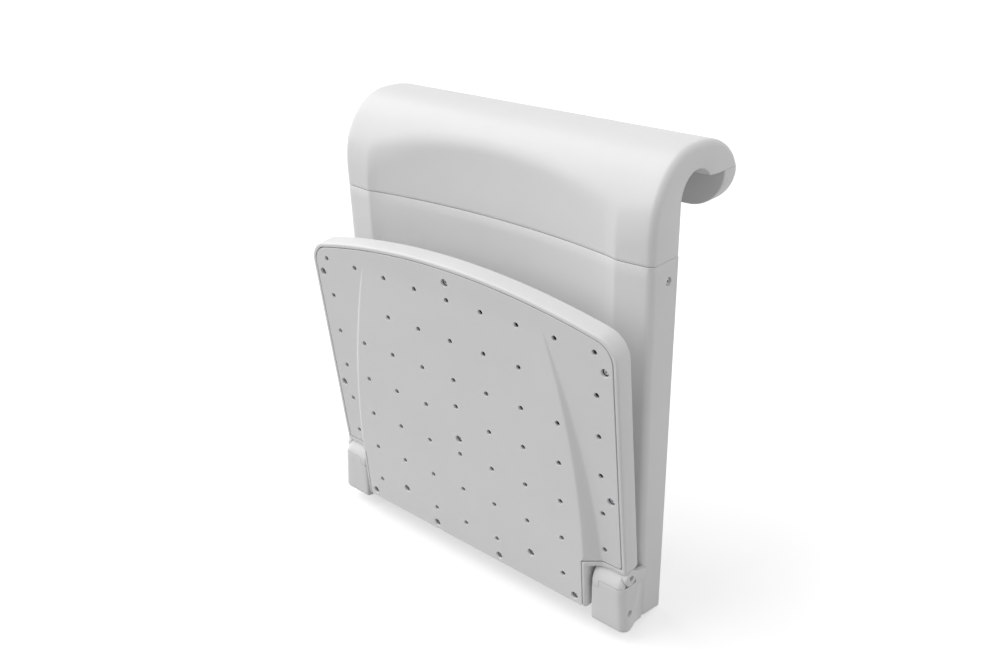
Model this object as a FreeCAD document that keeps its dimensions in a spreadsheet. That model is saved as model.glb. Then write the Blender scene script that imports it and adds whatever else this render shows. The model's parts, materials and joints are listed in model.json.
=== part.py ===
"""Fold-up shower seat with a backrest that hangs on a wall rail, drawn folded up.

Millimetres. The origin is the middle of the rail axis, X runs along the rail to the
sitter's left, Y points back to the wall and Z up.
"""
import FreeCAD
import Part
import Sketcher
import math
import os
import types

Vector = FreeCAD.Vector
doc = FreeCAD.newDocument("rail_seat")
sheet = doc.addObject("Spreadsheet::Sheet", "Dims")

DRIVING = {
    # rail and hook
    "rail_radius": 17.0,
    "arch_radius": 25.0,
    "tooth_angle": 35.0,
    "hook_top": 49.0,
    "wall_reach": 71.0,
    "rear_round": 77.0,
    "nose_round": 58.0,
    "nose_swell": 95.0,
    "nose_turn": 36.3,
    "lip_thick": 25.0,
    "lip_drop": 26.0,
    "lip_corner": 38.0,
    "hook_end_round": 7.0,
    # back panel
    "panel_half": 200.0,
    "panel_rear": 25.0,
    "panel_front": 66.0,
    "panel_drop": 440.5,
    "parting_drop": 54.0,
    "margin_wide": 37.0,
    "margin_fall": 5.0,
    "ridge_soft": 4.0,
    "step_wide": 7.0,
    "step_fall": 3.0,
    "recess_depth": 17.0,
    "corner_round": 8.0,
    "shell_wall": 3.0,
    "base_set_back": 1.5,
    "base_ramp": 16.0,
    "window_margin": 2.0,
    # frame inside the panel
    "tube_wide": 18.0,
    "tube_wall": 1.5,
    "tube_inset": 9.0,
    "tongue_long": 42.0,
    "hook_leg_drop": 4.0,
    "bar_tall": 24.0,
    "bar_thick": 12.0,
    "bar_drop": 40.0,
    "stop_bar_tall": 18.0,
    "stop_bar_deep": 18.0,
    "stop_pad_thick": 3.0,
    "stop_pad_long": 40.0,
    "stop_pad_x": 90.0,
    "stop_gap": 0.4,
    # rail pads and wall feet
    "pad_from": 60.0,
    "pad_long": 80.0,
    "pad_end_angle": 40.0,
    "strut_x": 88.0,
    "strut_rise": 60.0,
    "strut_radius": 9.0,
    "strut_bore": 6.5,
    "flange_radius": 17.0,
    "flange_thick": 4.0,
    "buffer_radius": 15.0,
    "buffer_thick": 7.0,
    # hinge
    "hinge_forward": 84.6,
    "hinge_drop": 367.0,
    "pin_radius": 4.0,
    "bush_wall": 1.5,
    "knuckle_radius": 7.2,
    "knuckle_long": 23.8,
    "boss_round": 8.6,
    "boss_tangent": 53.0,
    "ear_back": 19.1,
    "ear_fall": 3.7,
    "cheek_thick": 5.5,
    "cheek_gap": 0.5,
    "ear_out": 6.0,
    "flare": 4.5,
    "housing_nose": 14.9,
    "housing_drop": 8.0,
    "housing_tall": 47.0,
    "housing_nose_round": 11.0,
    "housing_foot_round": 6.0,
    "housing_edge_round": 5.0,
    "pin_recess": 2.5,
    "lug_wide": 17.0,
    "lug_tall": 18.0,
    "lug_drop": 38.0,
    "lug_nose": 9.0,
    # seat
    "tilt": 6.19,
    "seat_over": 4.5,
    "seat_thick": 22.0,
    "seat_under": 7.2,
    "seat_reach": 292.0,
    "seat_front_round": 835.0,
    "seat_corner": 27.0,
    "seat_edge_round": 3.0,
    "wing_low": 5.5,
    "tail_long": 46.7,
    "tail_gap": 6.0,
    "rim_wide": 4.5,
    "rim_line": 0.6,
    "top_wall": 4.0,
    "cover_sheet": 3.0,
    "relief_round": 9.3,
    "wedge_deep": 14.6,
    "wedge_front": 34.4,
    "wedge_in": 2.0,
    "wedge_round": 820.0,
    "wedge_run": 1.2,
    "wedge_gap": 1.0,
    "arm_wide": 8.0,
    "arm_long": 200.0,
    "cross_tube_radius": 5.5,
    "cross_tube_wall": 1.5,
    "cross_tube_s": 142.0,
    # drain holes and screws
    "drain_edge": 24.5,
    "drain_front": 38.0,
    "drain_tail": 30.7,
    "drain_shift": 13.7,
    "drain_radius": 2.75,
    "screw_radius": 2.0,
    "screw_long": 12.0,
    "head_radius": 3.6,
    "head_thick": 2.0,
    "head_sink": 2.0,
    "post_radius": 6.0,
    "post_tall": 3.0,
    "post_inset": 2.5,
    "tail_screw_in": 15.0,
    "tail_screw_rise": 10.2,
    "inner_screw_rise": 35.9,
    "rear_screw_drop": 50.0,
    "rear_screw_rise": 40.0,
    "side_screw_y": 38.8,
    "side_screw_drop": 14.8,
    "housing_screw_y": 4.2,
    "housing_screw_drop": 39.0,
    # fits
    "slip": 0.2,
    "running": 0.05,
    "pad_seat": 0.1,
}

for row, (alias, number) in enumerate(DRIVING.items(), start=1):
    sheet.set("A%d" % row, alias)
    sheet.set("B%d" % row, repr(number))
    sheet.setAlias("B%d" % row, alias)
doc.recompute()


class Size:
    """A number together with the sheet formula it comes from."""

    def __init__(self, value, text):
        self.value = value
        self.text = text

    def __add__(self, other):
        other = size(other)
        return Size(self.value + other.value, "(%s + %s)" % (self.text, other.text))

    def __sub__(self, other):
        other = size(other)
        return Size(self.value - other.value, "(%s - %s)" % (self.text, other.text))

    def __mul__(self, other):
        other = size(other)
        return Size(self.value * other.value, "(%s * %s)" % (self.text, other.text))

    def __truediv__(self, other):
        other = size(other)
        return Size(self.value / other.value, "(%s / %s)" % (self.text, other.text))

    def __radd__(self, other):
        return size(other) + self

    def __rsub__(self, other):
        return size(other) - self

    def __rmul__(self, other):
        return size(other) * self

    def __neg__(self):
        return Size(-self.value, "(0 - %s)" % self.text)


def size(thing):
    return thing if isinstance(thing, Size) else Size(float(thing), repr(float(thing)))


def root(number):
    return Size(math.sqrt(number.value), "sqrt(%s)" % number.text)


def cosine(angle):
    angle = size(angle)
    return Size(math.cos(math.radians(angle.value)), "cos(%s)" % angle.text)


def sine(angle):
    angle = size(angle)
    return Size(math.sin(math.radians(angle.value)), "sin(%s)" % angle.text)


def polar(radius, angle, middle=(0, 0)):
    return (middle[0] + radius * cosine(angle), middle[1] + radius * sine(angle))


d = types.SimpleNamespace()
for alias in DRIVING:
    setattr(d, alias, Size(float(sheet.get(alias)), "Dims." + alias))


class Drawing:
    """A sketch on an origin plane with every point tied to the sheet."""

    def __init__(self, body, name, role, offset=0):
        offset = size(offset)
        self.sketch = body.newObject("Sketcher::SketchObject", body.Label + "_" + name)
        planes = [plane for plane in body.Origin.OriginFeatures if plane.Role == role]
        self.sketch.AttachmentSupport = [(planes[0], "")]
        self.sketch.MapMode = "FlatFace"
        self.sketch.AttachmentOffset = FreeCAD.Placement(Vector(0, 0, offset.value), FreeCAD.Rotation())
        self.sketch.setExpression("AttachmentOffset.Base.z", offset.text)
        self.ties = []

    def pin(self, geometry, end, point):
        for kind, place in zip(("DistanceX", "DistanceY"), point):
            place = size(place)
            tie = Sketcher.Constraint(kind, -1, 1, geometry, end, place.value)
            self.ties.append((tie, place.text))

    def circle(self, point, radius):
        point = (size(point[0]), size(point[1]))
        radius = size(radius)
        middle = Vector(point[0].value, point[1].value, 0)
        geometry = self.sketch.addGeometry(Part.Circle(middle, Vector(0, 0, 1), radius.value))
        self.pin(geometry, 3, point)
        self.ties.append((Sketcher.Constraint("Radius", geometry, radius.value), radius.text))
        return self

    def loop(self, path):
        """Close a path of corners; a corner of four numbers is reached by an arc through the last two."""
        corners = [(size(entry[0]), size(entry[1])) for entry in path]
        spots = [Vector(x.value, y.value, 0) for x, y in corners]
        legs = list(path[1:])
        if spots[0].distanceToPoint(spots[-1]) > 1e-6:
            legs.append(path[0][:2])
        else:
            corners.pop()
            spots.pop()
        edges = []
        for index, leg in enumerate(legs):
            start = spots[index]
            stop = spots[(index + 1) % len(spots)]
            if len(leg) == 4:
                way = (size(leg[2]), size(leg[3]))
                between = Vector(way[0].value, way[1].value, 0)
                geometry = self.sketch.addGeometry(Part.Arc(start, between, stop))
                first = 1 if self.sketch.getPoint(geometry, 1).distanceToPoint(start) < 1e-5 else 2
                mark = self.sketch.addGeometry(Part.Point(between), True)
                self.pin(mark, 1, way)
                self.ties.append((Sketcher.Constraint("PointOnObject", mark, 1, geometry), None))
            else:
                geometry = self.sketch.addGeometry(Part.LineSegment(start, stop))
                first = 1
            edges.append((geometry, first))
        for index, (geometry, first) in enumerate(edges):
            before, before_first = edges[index - 1]
            self.pin(geometry, first, corners[index])
            joint = Sketcher.Constraint("Coincident", before, 3 - before_first, geometry, first)
            self.ties.append((joint, None))
        return self

    def box(self, low, high):
        return self.loop([low, (high[0], low[1]), high, (low[0], high[1])])

    def done(self):
        places = self.sketch.addConstraint([tie for tie, text in self.ties])
        for place, (tie, text) in zip(places, self.ties):
            if text is not None:
                self.sketch.setExpression("Constraints[%d]" % place, text)
        return self.sketch


nodes = []


def new_body(name, keep=True, placed=False):
    body = doc.addObject("PartDesign::Body", name)
    body.Label = name
    if placed:
        body.Placement = FreeCAD.Placement(Vector(), FreeCAD.Rotation(Vector(1, 0, 0), d.tilt.value))
        body.setExpression("Placement.Base.y", hinge_y.text)
        body.setExpression("Placement.Base.z", hinge_z.text)
        body.setExpression("Placement.Rotation.Angle", d.tilt.text)
    if keep:
        nodes.append(body)
    return body


def sweep(kind, body, drawing, length, back=False, both=False, taper=None):
    sketch = drawing.done()
    feature = body.newObject("PartDesign::" + kind, sketch.Name + "_" + kind.lower())
    feature.Profile = sketch
    feature.Reversed = back
    if both:
        feature.SideType = "Symmetric"
    feature.setExpression("Length", size(length).text)
    if taper is not None:
        feature.setExpression("TaperAngle", size(taper).text)
    return feature


def pad(body, drawing, length, **options):
    return sweep("Pad", body, drawing, length, **options)


def pocket(body, drawing, length, **options):
    return sweep("Pocket", body, drawing, length, **options)


def round_edges(body, base, radius, wanted):
    doc.recompute()
    names = ["Edge%d" % number for number, edge in enumerate(base.Shape.Edges, start=1) if wanted(edge)]
    feature = body.newObject("PartDesign::Fillet", base.Name + "_round")
    feature.Base = (base, names)
    feature.setExpression("Radius", radius.text)
    return feature


def ends_at(edge, pick, value):
    return all(abs(pick(vertex.Point) - value) < 0.01 for vertex in edge.Vertexes)


def mirrored(source, name):
    copy = doc.addObject("Part::Mirroring", name)
    copy.Label = name
    copy.Source = source
    copy.Base = Vector(0, 0, 0)
    copy.Normal = Vector(1, 0, 0)
    nodes.append(copy)
    return copy


def cylinder(name, radius, length, point, rotation):
    rod = doc.addObject("Part::Cylinder", name)
    rod.Placement = FreeCAD.Placement(Vector(*(size(part).value for part in point)), rotation)
    rod.setExpression("Radius", size(radius).text)
    rod.setExpression("Height", size(length).text)
    for letter, part in zip("xyz", point):
        rod.setExpression("Placement.Base." + letter, size(part).text)
    return rod


def screw(name, point, rotation, step):
    """A screw whose head starts at a point and whose shank follows along the turned Z axis."""
    head = cylinder(name + "_head", d.head_radius, d.head_thick, point, rotation)
    start = [part + move * (d.head_thick - d.slip) for part, move in zip(point, step)]
    shank = cylinder(name + "_shank", d.screw_radius, d.screw_long + d.slip, start, rotation)
    whole = doc.addObject("Part::Fuse", name)
    whole.Base = head
    whole.Tool = shank
    return whole


def group(name, pieces):
    bundle = doc.addObject("Part::Compound", name)
    bundle.Label = name
    bundle.Links = pieces
    nodes.append(bundle)
    return bundle


def block(name, low, high):
    box = doc.addObject("Part::Box", name)
    box.Label = name
    for key, letter, start, stop in zip(("Length", "Width", "Height"), "xyz", low, high):
        box.setExpression(key, (size(stop) - start).text)
        box.setExpression("Placement.Base." + letter, size(start).text)
    return box


# Places that several pieces share.
half = d.panel_half
front = -d.panel_front
rear = -d.panel_rear
floor = -d.panel_drop
parting = -d.parting_drop
ridge = half - d.margin_wide
step_foot = ridge - d.step_wide
step_y = front + d.step_fall
recess_y = front + d.recess_depth
cover_inner = rear - d.cover_sheet
hinge_y = -d.hinge_forward
hinge_z = -d.hinge_drop
under = -d.seat_under
top = d.seat_thick - d.seat_under
tube_outer = half - d.tube_inset
tube_inner = tube_outer - d.tube_wide
tube_mid = tube_outer - d.tube_wide / 2
tube_front = cover_inner - d.tube_wide
seat_half = half + d.seat_over
knuckle_outer = half - d.slip
knuckle_inner = knuckle_outer - d.knuckle_long
ear_inner = knuckle_outer + d.cheek_gap
cheek_outer = knuckle_inner - d.cheek_gap
housing_inner = cheek_outer - d.cheek_thick
tail_half = housing_inner - d.tail_gap
window_half = tail_half + d.window_margin
wedge_half = tail_half - d.wedge_in
wedge_end = d.seat_reach - d.wedge_front
column_pitch = (seat_half - d.drain_edge) / 4
drain_high = d.seat_reach - d.drain_front
drain_low = d.drain_tail - d.tail_long
row_pitch = (drain_high - drain_low) / 6
drain_middle = (drain_high + drain_low) / 2
lip_inner = d.wall_reach - d.lip_thick
lip_top = d.arch_radius * sine(d.tooth_angle)
nose_gain = d.nose_swell - d.nose_round
swell_y = front + d.nose_swell
nose_y = swell_y - nose_gain * cosine(d.nose_turn)
nose_z = d.hook_top - d.nose_round
swell_z = nose_z - nose_gain * sine(d.nose_turn)
back_z = d.hook_top - d.rear_round
back_y = d.wall_reach - root(d.rear_round * d.rear_round - (lip_top - back_z) * (lip_top - back_z))
stop_z = hinge_z + top + d.stop_gap
stop_bar_z = stop_z + d.stop_pad_thick
base_top = stop_bar_z + d.stop_bar_tall + d.shell_wall + d.base_ramp


def margin_y(x):
    return front + d.margin_fall * ((x - ridge) / d.margin_wide)


def front_curve():
    """Front of the panel in plan, from the right side to the left one."""
    shoulder = half - d.corner_round
    shoulder_y = margin_y(shoulder)
    side_y = shoulder_y + d.corner_round
    soft_x = ridge + d.ridge_soft
    soft_y = margin_y(soft_x)
    fall_x = ridge - d.ridge_soft
    fall_y = front + d.step_fall * (d.ridge_soft / d.step_wide)
    crest_x = (soft_x + fall_x) / 4 + ridge / 2
    crest_y = (soft_y + fall_y) / 4 + front / 2
    bend = polar(d.corner_round, -45, (shoulder, side_y))
    right = [
        (half, side_y),
        (shoulder, shoulder_y) + bend,
        (soft_x, soft_y),
        (fall_x, fall_y, crest_x, crest_y),
        (step_foot, step_y),
    ]
    left = [
        (-step_foot, step_y, size(0), recess_y),
        (-fall_x, fall_y),
        (-soft_x, soft_y, -crest_x, crest_y),
        (-shoulder, shoulder_y),
        (-half, side_y, -bend[0], bend[1]),
    ]
    return right + left


def hook_path(wall, front_y):
    """Side view of the hook, shrunk by a wall; the front may stand further back."""
    arch = d.arch_radius + wall
    ceiling = lip_top + wall
    tooth_y = root(arch * arch - ceiling * ceiling)
    rear_radius = d.rear_round - wall
    tail_y = back_y + root(rear_radius * rear_radius - (ceiling - back_z) * (ceiling - back_z))
    nose = d.nose_round - wall
    join = (nose_y - nose * cosine(d.nose_turn), nose_z + nose * sine(d.nose_turn))
    fall = []
    start_y, middle_y, middle_z, radius = nose_y, nose_y, nose_z, nose
    if front_y.value < join[0].value:
        fall.append(join + polar(nose, 115, (nose_y, nose_z)))
        start_y, middle_y, middle_z, radius = join[0], swell_y, swell_z, d.nose_swell - wall

    def height(y):
        return middle_z + root(radius * radius - (middle_y - y) * (middle_y - y))

    bend_y = (start_y + front_y) / 2
    fall.append((front_y, height(front_y), bend_y, height(bend_y)))
    return [
        (-arch, parting),
        (-arch, size(0)),
        (tooth_y, ceiling) + polar(arch, 110),
        (tail_y, ceiling),
        (back_y, d.hook_top - wall) + polar(rear_radius, 55, (back_y, back_z)),
        (nose_y, d.hook_top - wall),
    ] + fall + [(front_y, parting)]


wedge_slope = d.wedge_deep / (wedge_end + d.tail_long)


def crease(s_place):
    """Half width of the raised middle of the underside at a place along the seat."""
    return wedge_half - s_place * s_place / (d.wedge_round * 2)


def crease_foot(s_place):
    return crease(s_place) + d.wedge_run * wedge_slope * (wedge_end - s_place)


# Back shell.
shell = new_body("back_shell")
section = Drawing(shell, "section", "XY_Plane", floor)
section.loop([(-half, rear), (half, rear)] + front_curve())
pad(shell, section, d.panel_drop - d.parting_drop)
base_y = front + d.base_set_back
base = Drawing(shell, "base", "YZ_Plane")
base.loop([
    (rear - d.shell_wall, floor),
    (rear - d.shell_wall, base_top),
    (recess_y - d.shell_wall, base_top),
    (base_y, base_top - d.base_ramp),
    (base_y, floor),
])
pad(shell, base, ridge * 2, both=True)
inside = half - d.shell_wall
foot = floor + d.shell_wall
cavity = Drawing(shell, "cavity", "XY_Plane", foot)
elbow = half - d.corner_round
cavity.loop([
    (inside, rear),
    (inside, margin_y(elbow) + d.corner_round),
    (elbow, margin_y(elbow) + d.shell_wall),
    (ridge, front + d.shell_wall),
    (step_foot, step_y + d.shell_wall),
    (-step_foot, step_y + d.shell_wall, size(0), recess_y + d.shell_wall),
    (-ridge, front + d.shell_wall),
    (-elbow, margin_y(elbow) + d.shell_wall),
    (-inside, margin_y(elbow) + d.corner_round),
    (-inside, rear),
])
pocket(shell, cavity, d.panel_drop, back=True)
hollow = Drawing(shell, "hollow", "YZ_Plane")
hollow.loop([
    (rear, foot),
    (rear, base_top - d.shell_wall),
    (recess_y, base_top - d.shell_wall),
    (base_y + d.shell_wall, base_top - d.base_ramp - d.shell_wall / 2),
    (base_y + d.shell_wall, foot),
])
pocket(shell, hollow, ridge * 2, both=True)
tail_swing = root(d.tail_long * d.tail_long + (d.seat_under + d.wedge_deep) * (d.seat_under + d.wedge_deep))
window = Drawing(shell, "window", "XZ_Plane", d.panel_front + 5)
window.box((-window_half, hinge_z - tail_swing + d.window_margin * 1.5), (window_half, stop_z + d.window_margin / 2))
pocket(shell, window, d.recess_depth + 10)
lug_mid = tube_mid
lug_z = hinge_z - d.lug_drop
lug_holes = Drawing(shell, "lug_holes", "XZ_Plane", d.panel_front + 5)
lug_half = d.lug_wide / 2 + d.slip
lug_rise = d.lug_tall / 2 + d.slip
for side in (-1, 1):
    middle = side * lug_mid
    lug_holes.box((middle - lug_half, lug_z - lug_rise), (middle + lug_half, lug_z + lug_rise))
pocket(shell, lug_holes, d.recess_depth + 5)
side_y = -d.side_screw_y
side_z = parting - d.side_screw_drop
side_shank = Drawing(shell, "side_shank", "YZ_Plane").circle((side_y, side_z), d.screw_radius + d.slip)
pocket(shell, side_shank, half * 2 + 20, both=True)
side_sink = d.shell_wall - 1
for side, word in ((-1, "left"), (1, "right")):
    sink = Drawing(shell, "side_sink_" + word, "YZ_Plane", side * half)
    sink.circle((side_y, side_z), d.head_radius + d.slip)
    pocket(shell, sink, side_sink, back=side < 0)

# Hook cover over the rail.
cover = new_body("hook_cover")
profile = Drawing(cover, "profile", "YZ_Plane").loop(hook_path(size(0), front))
raw_hook = pad(cover, profile, half * 2, both=True)


def outer_end(edge):
    if not (ends_at(edge, lambda p: abs(p.x), half.value)):
        return False
    middle = edge.valueAt((edge.FirstParameter + edge.LastParameter) / 2)
    radius = math.hypot(middle.y, middle.z)
    above = middle.z > lip_top.value + 0.5 and radius > d.arch_radius.value + 1
    return above or abs(middle.y - front.value) < 0.01


round_edges(cover, raw_hook, d.hook_end_round, outer_end)
recess = Drawing(cover, "recess", "XY_Plane", parting - 1)
recess.loop([(-half, front - 30), (half, front - 30)] + front_curve())
pocket(cover, recess, d.parting_drop + d.hook_top + 20, back=True)
middle_front = recess_y + d.shell_wall
middle_room = Drawing(cover, "middle_room", "YZ_Plane").loop(hook_path(d.shell_wall, middle_front))
pocket(cover, middle_room, (step_foot - d.shell_wall) * 2, both=True)
side_from = ridge + d.ridge_soft / 2
side_long = half - d.shell_wall * 2 - side_from
side_front = front + d.margin_fall + d.shell_wall + 1
for side, word in ((-1, "left"), (1, "right")):
    room = Drawing(cover, "room_" + word, "YZ_Plane", side * side_from)
    room.loop(hook_path(d.shell_wall, side_front))
    pocket(cover, room, side_long, back=side > 0)
plate = d.tube_wide - (d.tube_wall + d.slip) * 2
leg_from = lip_inner + 4
leg_to = leg_from + 11
slot_low = lip_top - 1
for side, word in ((-1, "left"), (1, "right")):
    slot = Drawing(cover, "slot_" + word, "YZ_Plane", side * (tube_mid - plate / 2 - d.slip))
    slot.box((leg_from - d.slip, slot_low), (leg_to + d.slip, lip_top + d.shell_wall + 1))
    pocket(cover, slot, plate + d.slip * 2, back=side > 0)

# Hook lip behind the rail.
lip = new_body("hook_lip")
lip_profile = Drawing(lip, "profile", "YZ_Plane")
lip_profile.loop([
    (lip_inner, lip_top),
    (lip_inner, -d.lip_drop),
    (d.wall_reach, -d.lip_drop),
    (d.wall_reach, lip_top),
])
raw_lip = pad(lip, lip_profile, half * 2, both=True)


def lip_corner_edge(edge):
    low = ends_at(edge, lambda p: p.z, -d.lip_drop.value)
    return low and edge.Length < half.value and ends_at(edge, lambda p: abs(p.x), half.value)


cornered = round_edges(lip, raw_lip, d.lip_corner, lip_corner_edge)


def lip_rear_edge(edge):
    at_wall = ends_at(edge, lambda p: p.y, d.wall_reach.value)
    return at_wall and not ends_at(edge, lambda p: p.z, lip_top.value)


round_edges(lip, cornered, d.hook_end_round, lip_rear_edge)
leg_low = size(0)
for side, word in ((-1, "left"), (1, "right")):
    hole = Drawing(lip, "hole_" + word, "YZ_Plane", side * (tube_mid - plate / 2 - d.slip))
    hole.box((leg_from - d.slip, leg_low - d.slip), (leg_to + d.slip, lip_top + 1))
    pocket(lip, hole, plate + d.slip * 2, back=side > 0)

# Rear cover.
back_cover = new_body("rear_cover")
sheet_half = inside - d.slip
sheet_low = foot + d.slip
sheet_high = parting - d.slip
panel = Drawing(back_cover, "plate", "XZ_Plane", -rear)
panel.box((-sheet_half, sheet_low), (sheet_half, sheet_high))
pad(back_cover, panel, d.cover_sheet)
top_row = parting - d.rear_screw_drop
low_row = hinge_z + d.rear_screw_rise
screw_rows = [top_row, (top_row + low_row) / 2, low_row]
screw_spots = [(side * tube_mid, row) for side in (-1, 1) for row in screw_rows]
sinks = Drawing(back_cover, "sinks", "XZ_Plane", -rear)
shanks = Drawing(back_cover, "shanks", "XZ_Plane", -rear)
for spot in screw_spots:
    sinks.circle(spot, d.head_radius + d.slip)
    shanks.circle(spot, d.screw_radius + d.slip)
rear_sink = d.cover_sheet - 1
pocket(back_cover, sinks, rear_sink, back=True)
pocket(back_cover, shanks, d.cover_sheet + 1, back=True)

# Uprights.
tube_low = floor + d.shell_wall + d.slip
tube_high = parting - d.hook_leg_drop
upright = new_body("upright_right")
wall_square = Drawing(upright, "square", "XY_Plane", tube_low)
wall_square.box((tube_inner, tube_front), (tube_outer, cover_inner))
wall_square.box(
    (tube_inner + d.tube_wall, tube_front + d.tube_wall),
    (tube_outer - d.tube_wall, cover_inner - d.tube_wall),
)
pad(upright, wall_square, tube_high - tube_low)
tube_side = Drawing(upright, "side_hole", "YZ_Plane", tube_outer)
tube_side.circle((side_y, side_z), d.screw_radius + d.slip)
pocket(upright, tube_side, d.tube_wall + 1)
tube_back = Drawing(upright, "back_holes", "XZ_Plane", -cover_inner)
for row in screw_rows:
    tube_back.circle((tube_mid, row), d.screw_radius + d.slip)
pocket(upright, tube_back, d.tube_wall + 1, back=True)
mirrored(upright, "upright_left")

# Hook brackets, each with a tongue down into its upright.
bracket = new_body("hook_bracket_right")
hook_in = -cover_inner + d.tube_wall + d.slip
hook_out = -tube_front - d.tube_wall - d.slip
tongue_low = tube_high - d.tongue_long
ledge = lip_top + d.shell_wall + 1
inner_turn = root(hook_in * hook_in - ledge * ledge)
shape = Drawing(bracket, "profile", "YZ_Plane", tube_mid - plate / 2)
shape.loop([
    (-hook_in, tongue_low),
    (-hook_in, size(0)),
    (inner_turn, ledge) + polar(hook_in, 110),
    (leg_from, ledge),
    (leg_from, leg_low),
    (leg_to, leg_low),
    (leg_to, ledge + 2),
    polar(hook_out, 45),
    (-hook_out, size(0)) + polar(hook_out, 110),
    (-hook_out, tongue_low),
])
pad(bracket, shape, plate)
lock = Drawing(bracket, "lock", "YZ_Plane", tube_mid + plate / 2)
lock.circle((side_y, side_z), d.screw_radius + d.slip)
pocket(bracket, lock, d.screw_long)
mirrored(bracket, "hook_bracket_left")

# Bars between the uprights, and the pads that stop the seat's tail.
bar_high = tube_high - d.bar_drop
cross = block("cross_bar", (-tube_inner, cover_inner - d.bar_thick, bar_high - d.bar_tall),
              (tube_inner, cover_inner, bar_high))
nodes.append(cross)
stop_front = base_y + d.shell_wall + 1
stop = block("stop_bar", (-tube_inner, stop_front, stop_bar_z),
             (tube_inner, stop_front + d.stop_bar_deep, stop_bar_z + d.stop_bar_tall))
nodes.append(stop)
stop_pads = []
for side, word in ((-1, "left"), (1, "right")):
    low_x = side * d.stop_pad_x - d.stop_pad_long / 2
    low = (low_x, stop_front, stop_z)
    high = (low_x + d.stop_pad_long, stop_front + d.stop_bar_deep, stop_bar_z)
    stop_pads.append(block("stop_pad_" + word, low, high))
group("stop_pads", stop_pads)

# Rail pads in the arch.
saddle = new_body("rail_pad_right")
pad_outer = d.arch_radius - d.pad_seat
arc = Drawing(saddle, "arc", "YZ_Plane", d.pad_from)
arc.loop([
    polar(d.rail_radius, d.pad_end_angle),
    polar(pad_outer, d.pad_end_angle),
    (-pad_outer, size(0)) + polar(pad_outer, 110),
    (-d.rail_radius, size(0)),
    polar(d.rail_radius, d.pad_end_angle) + polar(d.rail_radius, 110),
])
pad(saddle, arc, d.pad_long)
mirrored(saddle, "rail_pad_left")

# Wall feet.
strut_z = floor + d.strut_rise
strut = new_body("wall_strut_right")
flange = Drawing(strut, "flange", "XZ_Plane", -rear).circle((d.strut_x, strut_z), d.flange_radius)
pad(strut, flange, d.flange_thick, back=True)
stem = Drawing(strut, "stem", "XZ_Plane", -rear)
stem.circle((d.strut_x, strut_z), d.strut_radius)
stem.circle((d.strut_x, strut_z), d.strut_bore)
strut_long = d.wall_reach + d.panel_rear - d.buffer_thick
pad(strut, stem, strut_long, back=True)
mirrored(strut, "wall_strut_left")
buffer = new_body("wall_buffer_right")
disc = Drawing(buffer, "disc", "XZ_Plane", -d.wall_reach).circle((d.strut_x, strut_z), d.buffer_radius)
pad(buffer, disc, d.buffer_thick)
mirrored(buffer, "wall_buffer_left")

# Hinge housings on the panel's lower corners.
housing = new_body("hinge_housing_right")
far = half + d.ear_out + d.flare + 4
nose = hinge_y - d.housing_nose
deck = hinge_z - d.housing_drop
deck_low = deck - d.housing_tall
deep = hinge_y + d.hinge_forward - d.panel_front + 8
body_side = Drawing(housing, "side", "YZ_Plane", housing_inner)
body_side.loop([
    (deep, deck_low),
    (deep, deck),
    (nose + d.housing_nose_round, deck),
    (nose, deck - d.housing_nose_round)
    + polar(d.housing_nose_round, 135, (nose + d.housing_nose_round, deck - d.housing_nose_round)),
    (nose, deck_low + d.housing_foot_round),
    (nose + d.housing_foot_round, deck_low)
    + polar(d.housing_foot_round, 225, (nose + d.housing_foot_round, deck_low + d.housing_foot_round)),
])
pad(housing, body_side, far - housing_inner)
centre = (hinge_y, hinge_z)
boss_front = polar(d.boss_round, 247, centre)
ear_path = [
    (deep, deck - 4),
    (deep, deck),
    (hinge_y + d.ear_back, hinge_z - d.ear_fall),
    polar(d.boss_round, d.boss_tangent, centre),
    boss_front + polar(d.boss_round, 140, centre),
    (boss_front[0], deck - 4),
]
ear = Drawing(housing, "ear", "YZ_Plane", ear_inner).loop(ear_path)
pad(housing, ear, far - ear_inner)
cheek = Drawing(housing, "cheek", "YZ_Plane", housing_inner).loop(ear_path)
pad(housing, cheek, d.cheek_thick)
seat_line = Drawing(housing, "rear", "XY_Plane", deck_low - 5)
seat_line.loop([
    (ridge - 5, margin_y(ridge - 5)),
    (half - d.corner_round, margin_y(half - d.corner_round)),
    (half - 3, margin_y(half - d.corner_round)),
    (far + 5, front - d.margin_fall),
    (far + 5, deep + 20),
    (ridge - 5, deep + 20),
])
pocket(housing, seat_line, d.housing_tall * 2, back=True)
flare_cut = Drawing(housing, "flare", "XZ_Plane", -nose + 10)
flare_cut.loop([
    (half + d.ear_out, hinge_z + d.boss_round + 5),
    (half + d.ear_out, hinge_z),
    (half + d.ear_out + d.flare, deck_low - 1),
    (far + 5, deck_low - 1),
    (far + 5, hinge_z + d.boss_round + 5),
])
flared = pocket(housing, flare_cut, d.hinge_forward + 40)
passing = crease_foot(d.wing_low) + d.wedge_gap
bevel = Drawing(housing, "bevel", "XZ_Plane", -nose + 10)
bevel.loop([
    (housing_inner - 1, deck + 1),
    (passing + d.wedge_run, deck + 1),
    (housing_inner - 1, deck - (passing - housing_inner + 1) / d.wedge_run),
])
beveled = pocket(housing, bevel, d.housing_nose + 10 - d.housing_drop / 2)


def nose_edge(edge):
    drop = abs(edge.Vertexes[0].Point.z - edge.Vertexes[-1].Point.z)
    return ends_at(edge, lambda p: p.y, nose.value) and drop > d.housing_tall.value / 2


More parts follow.
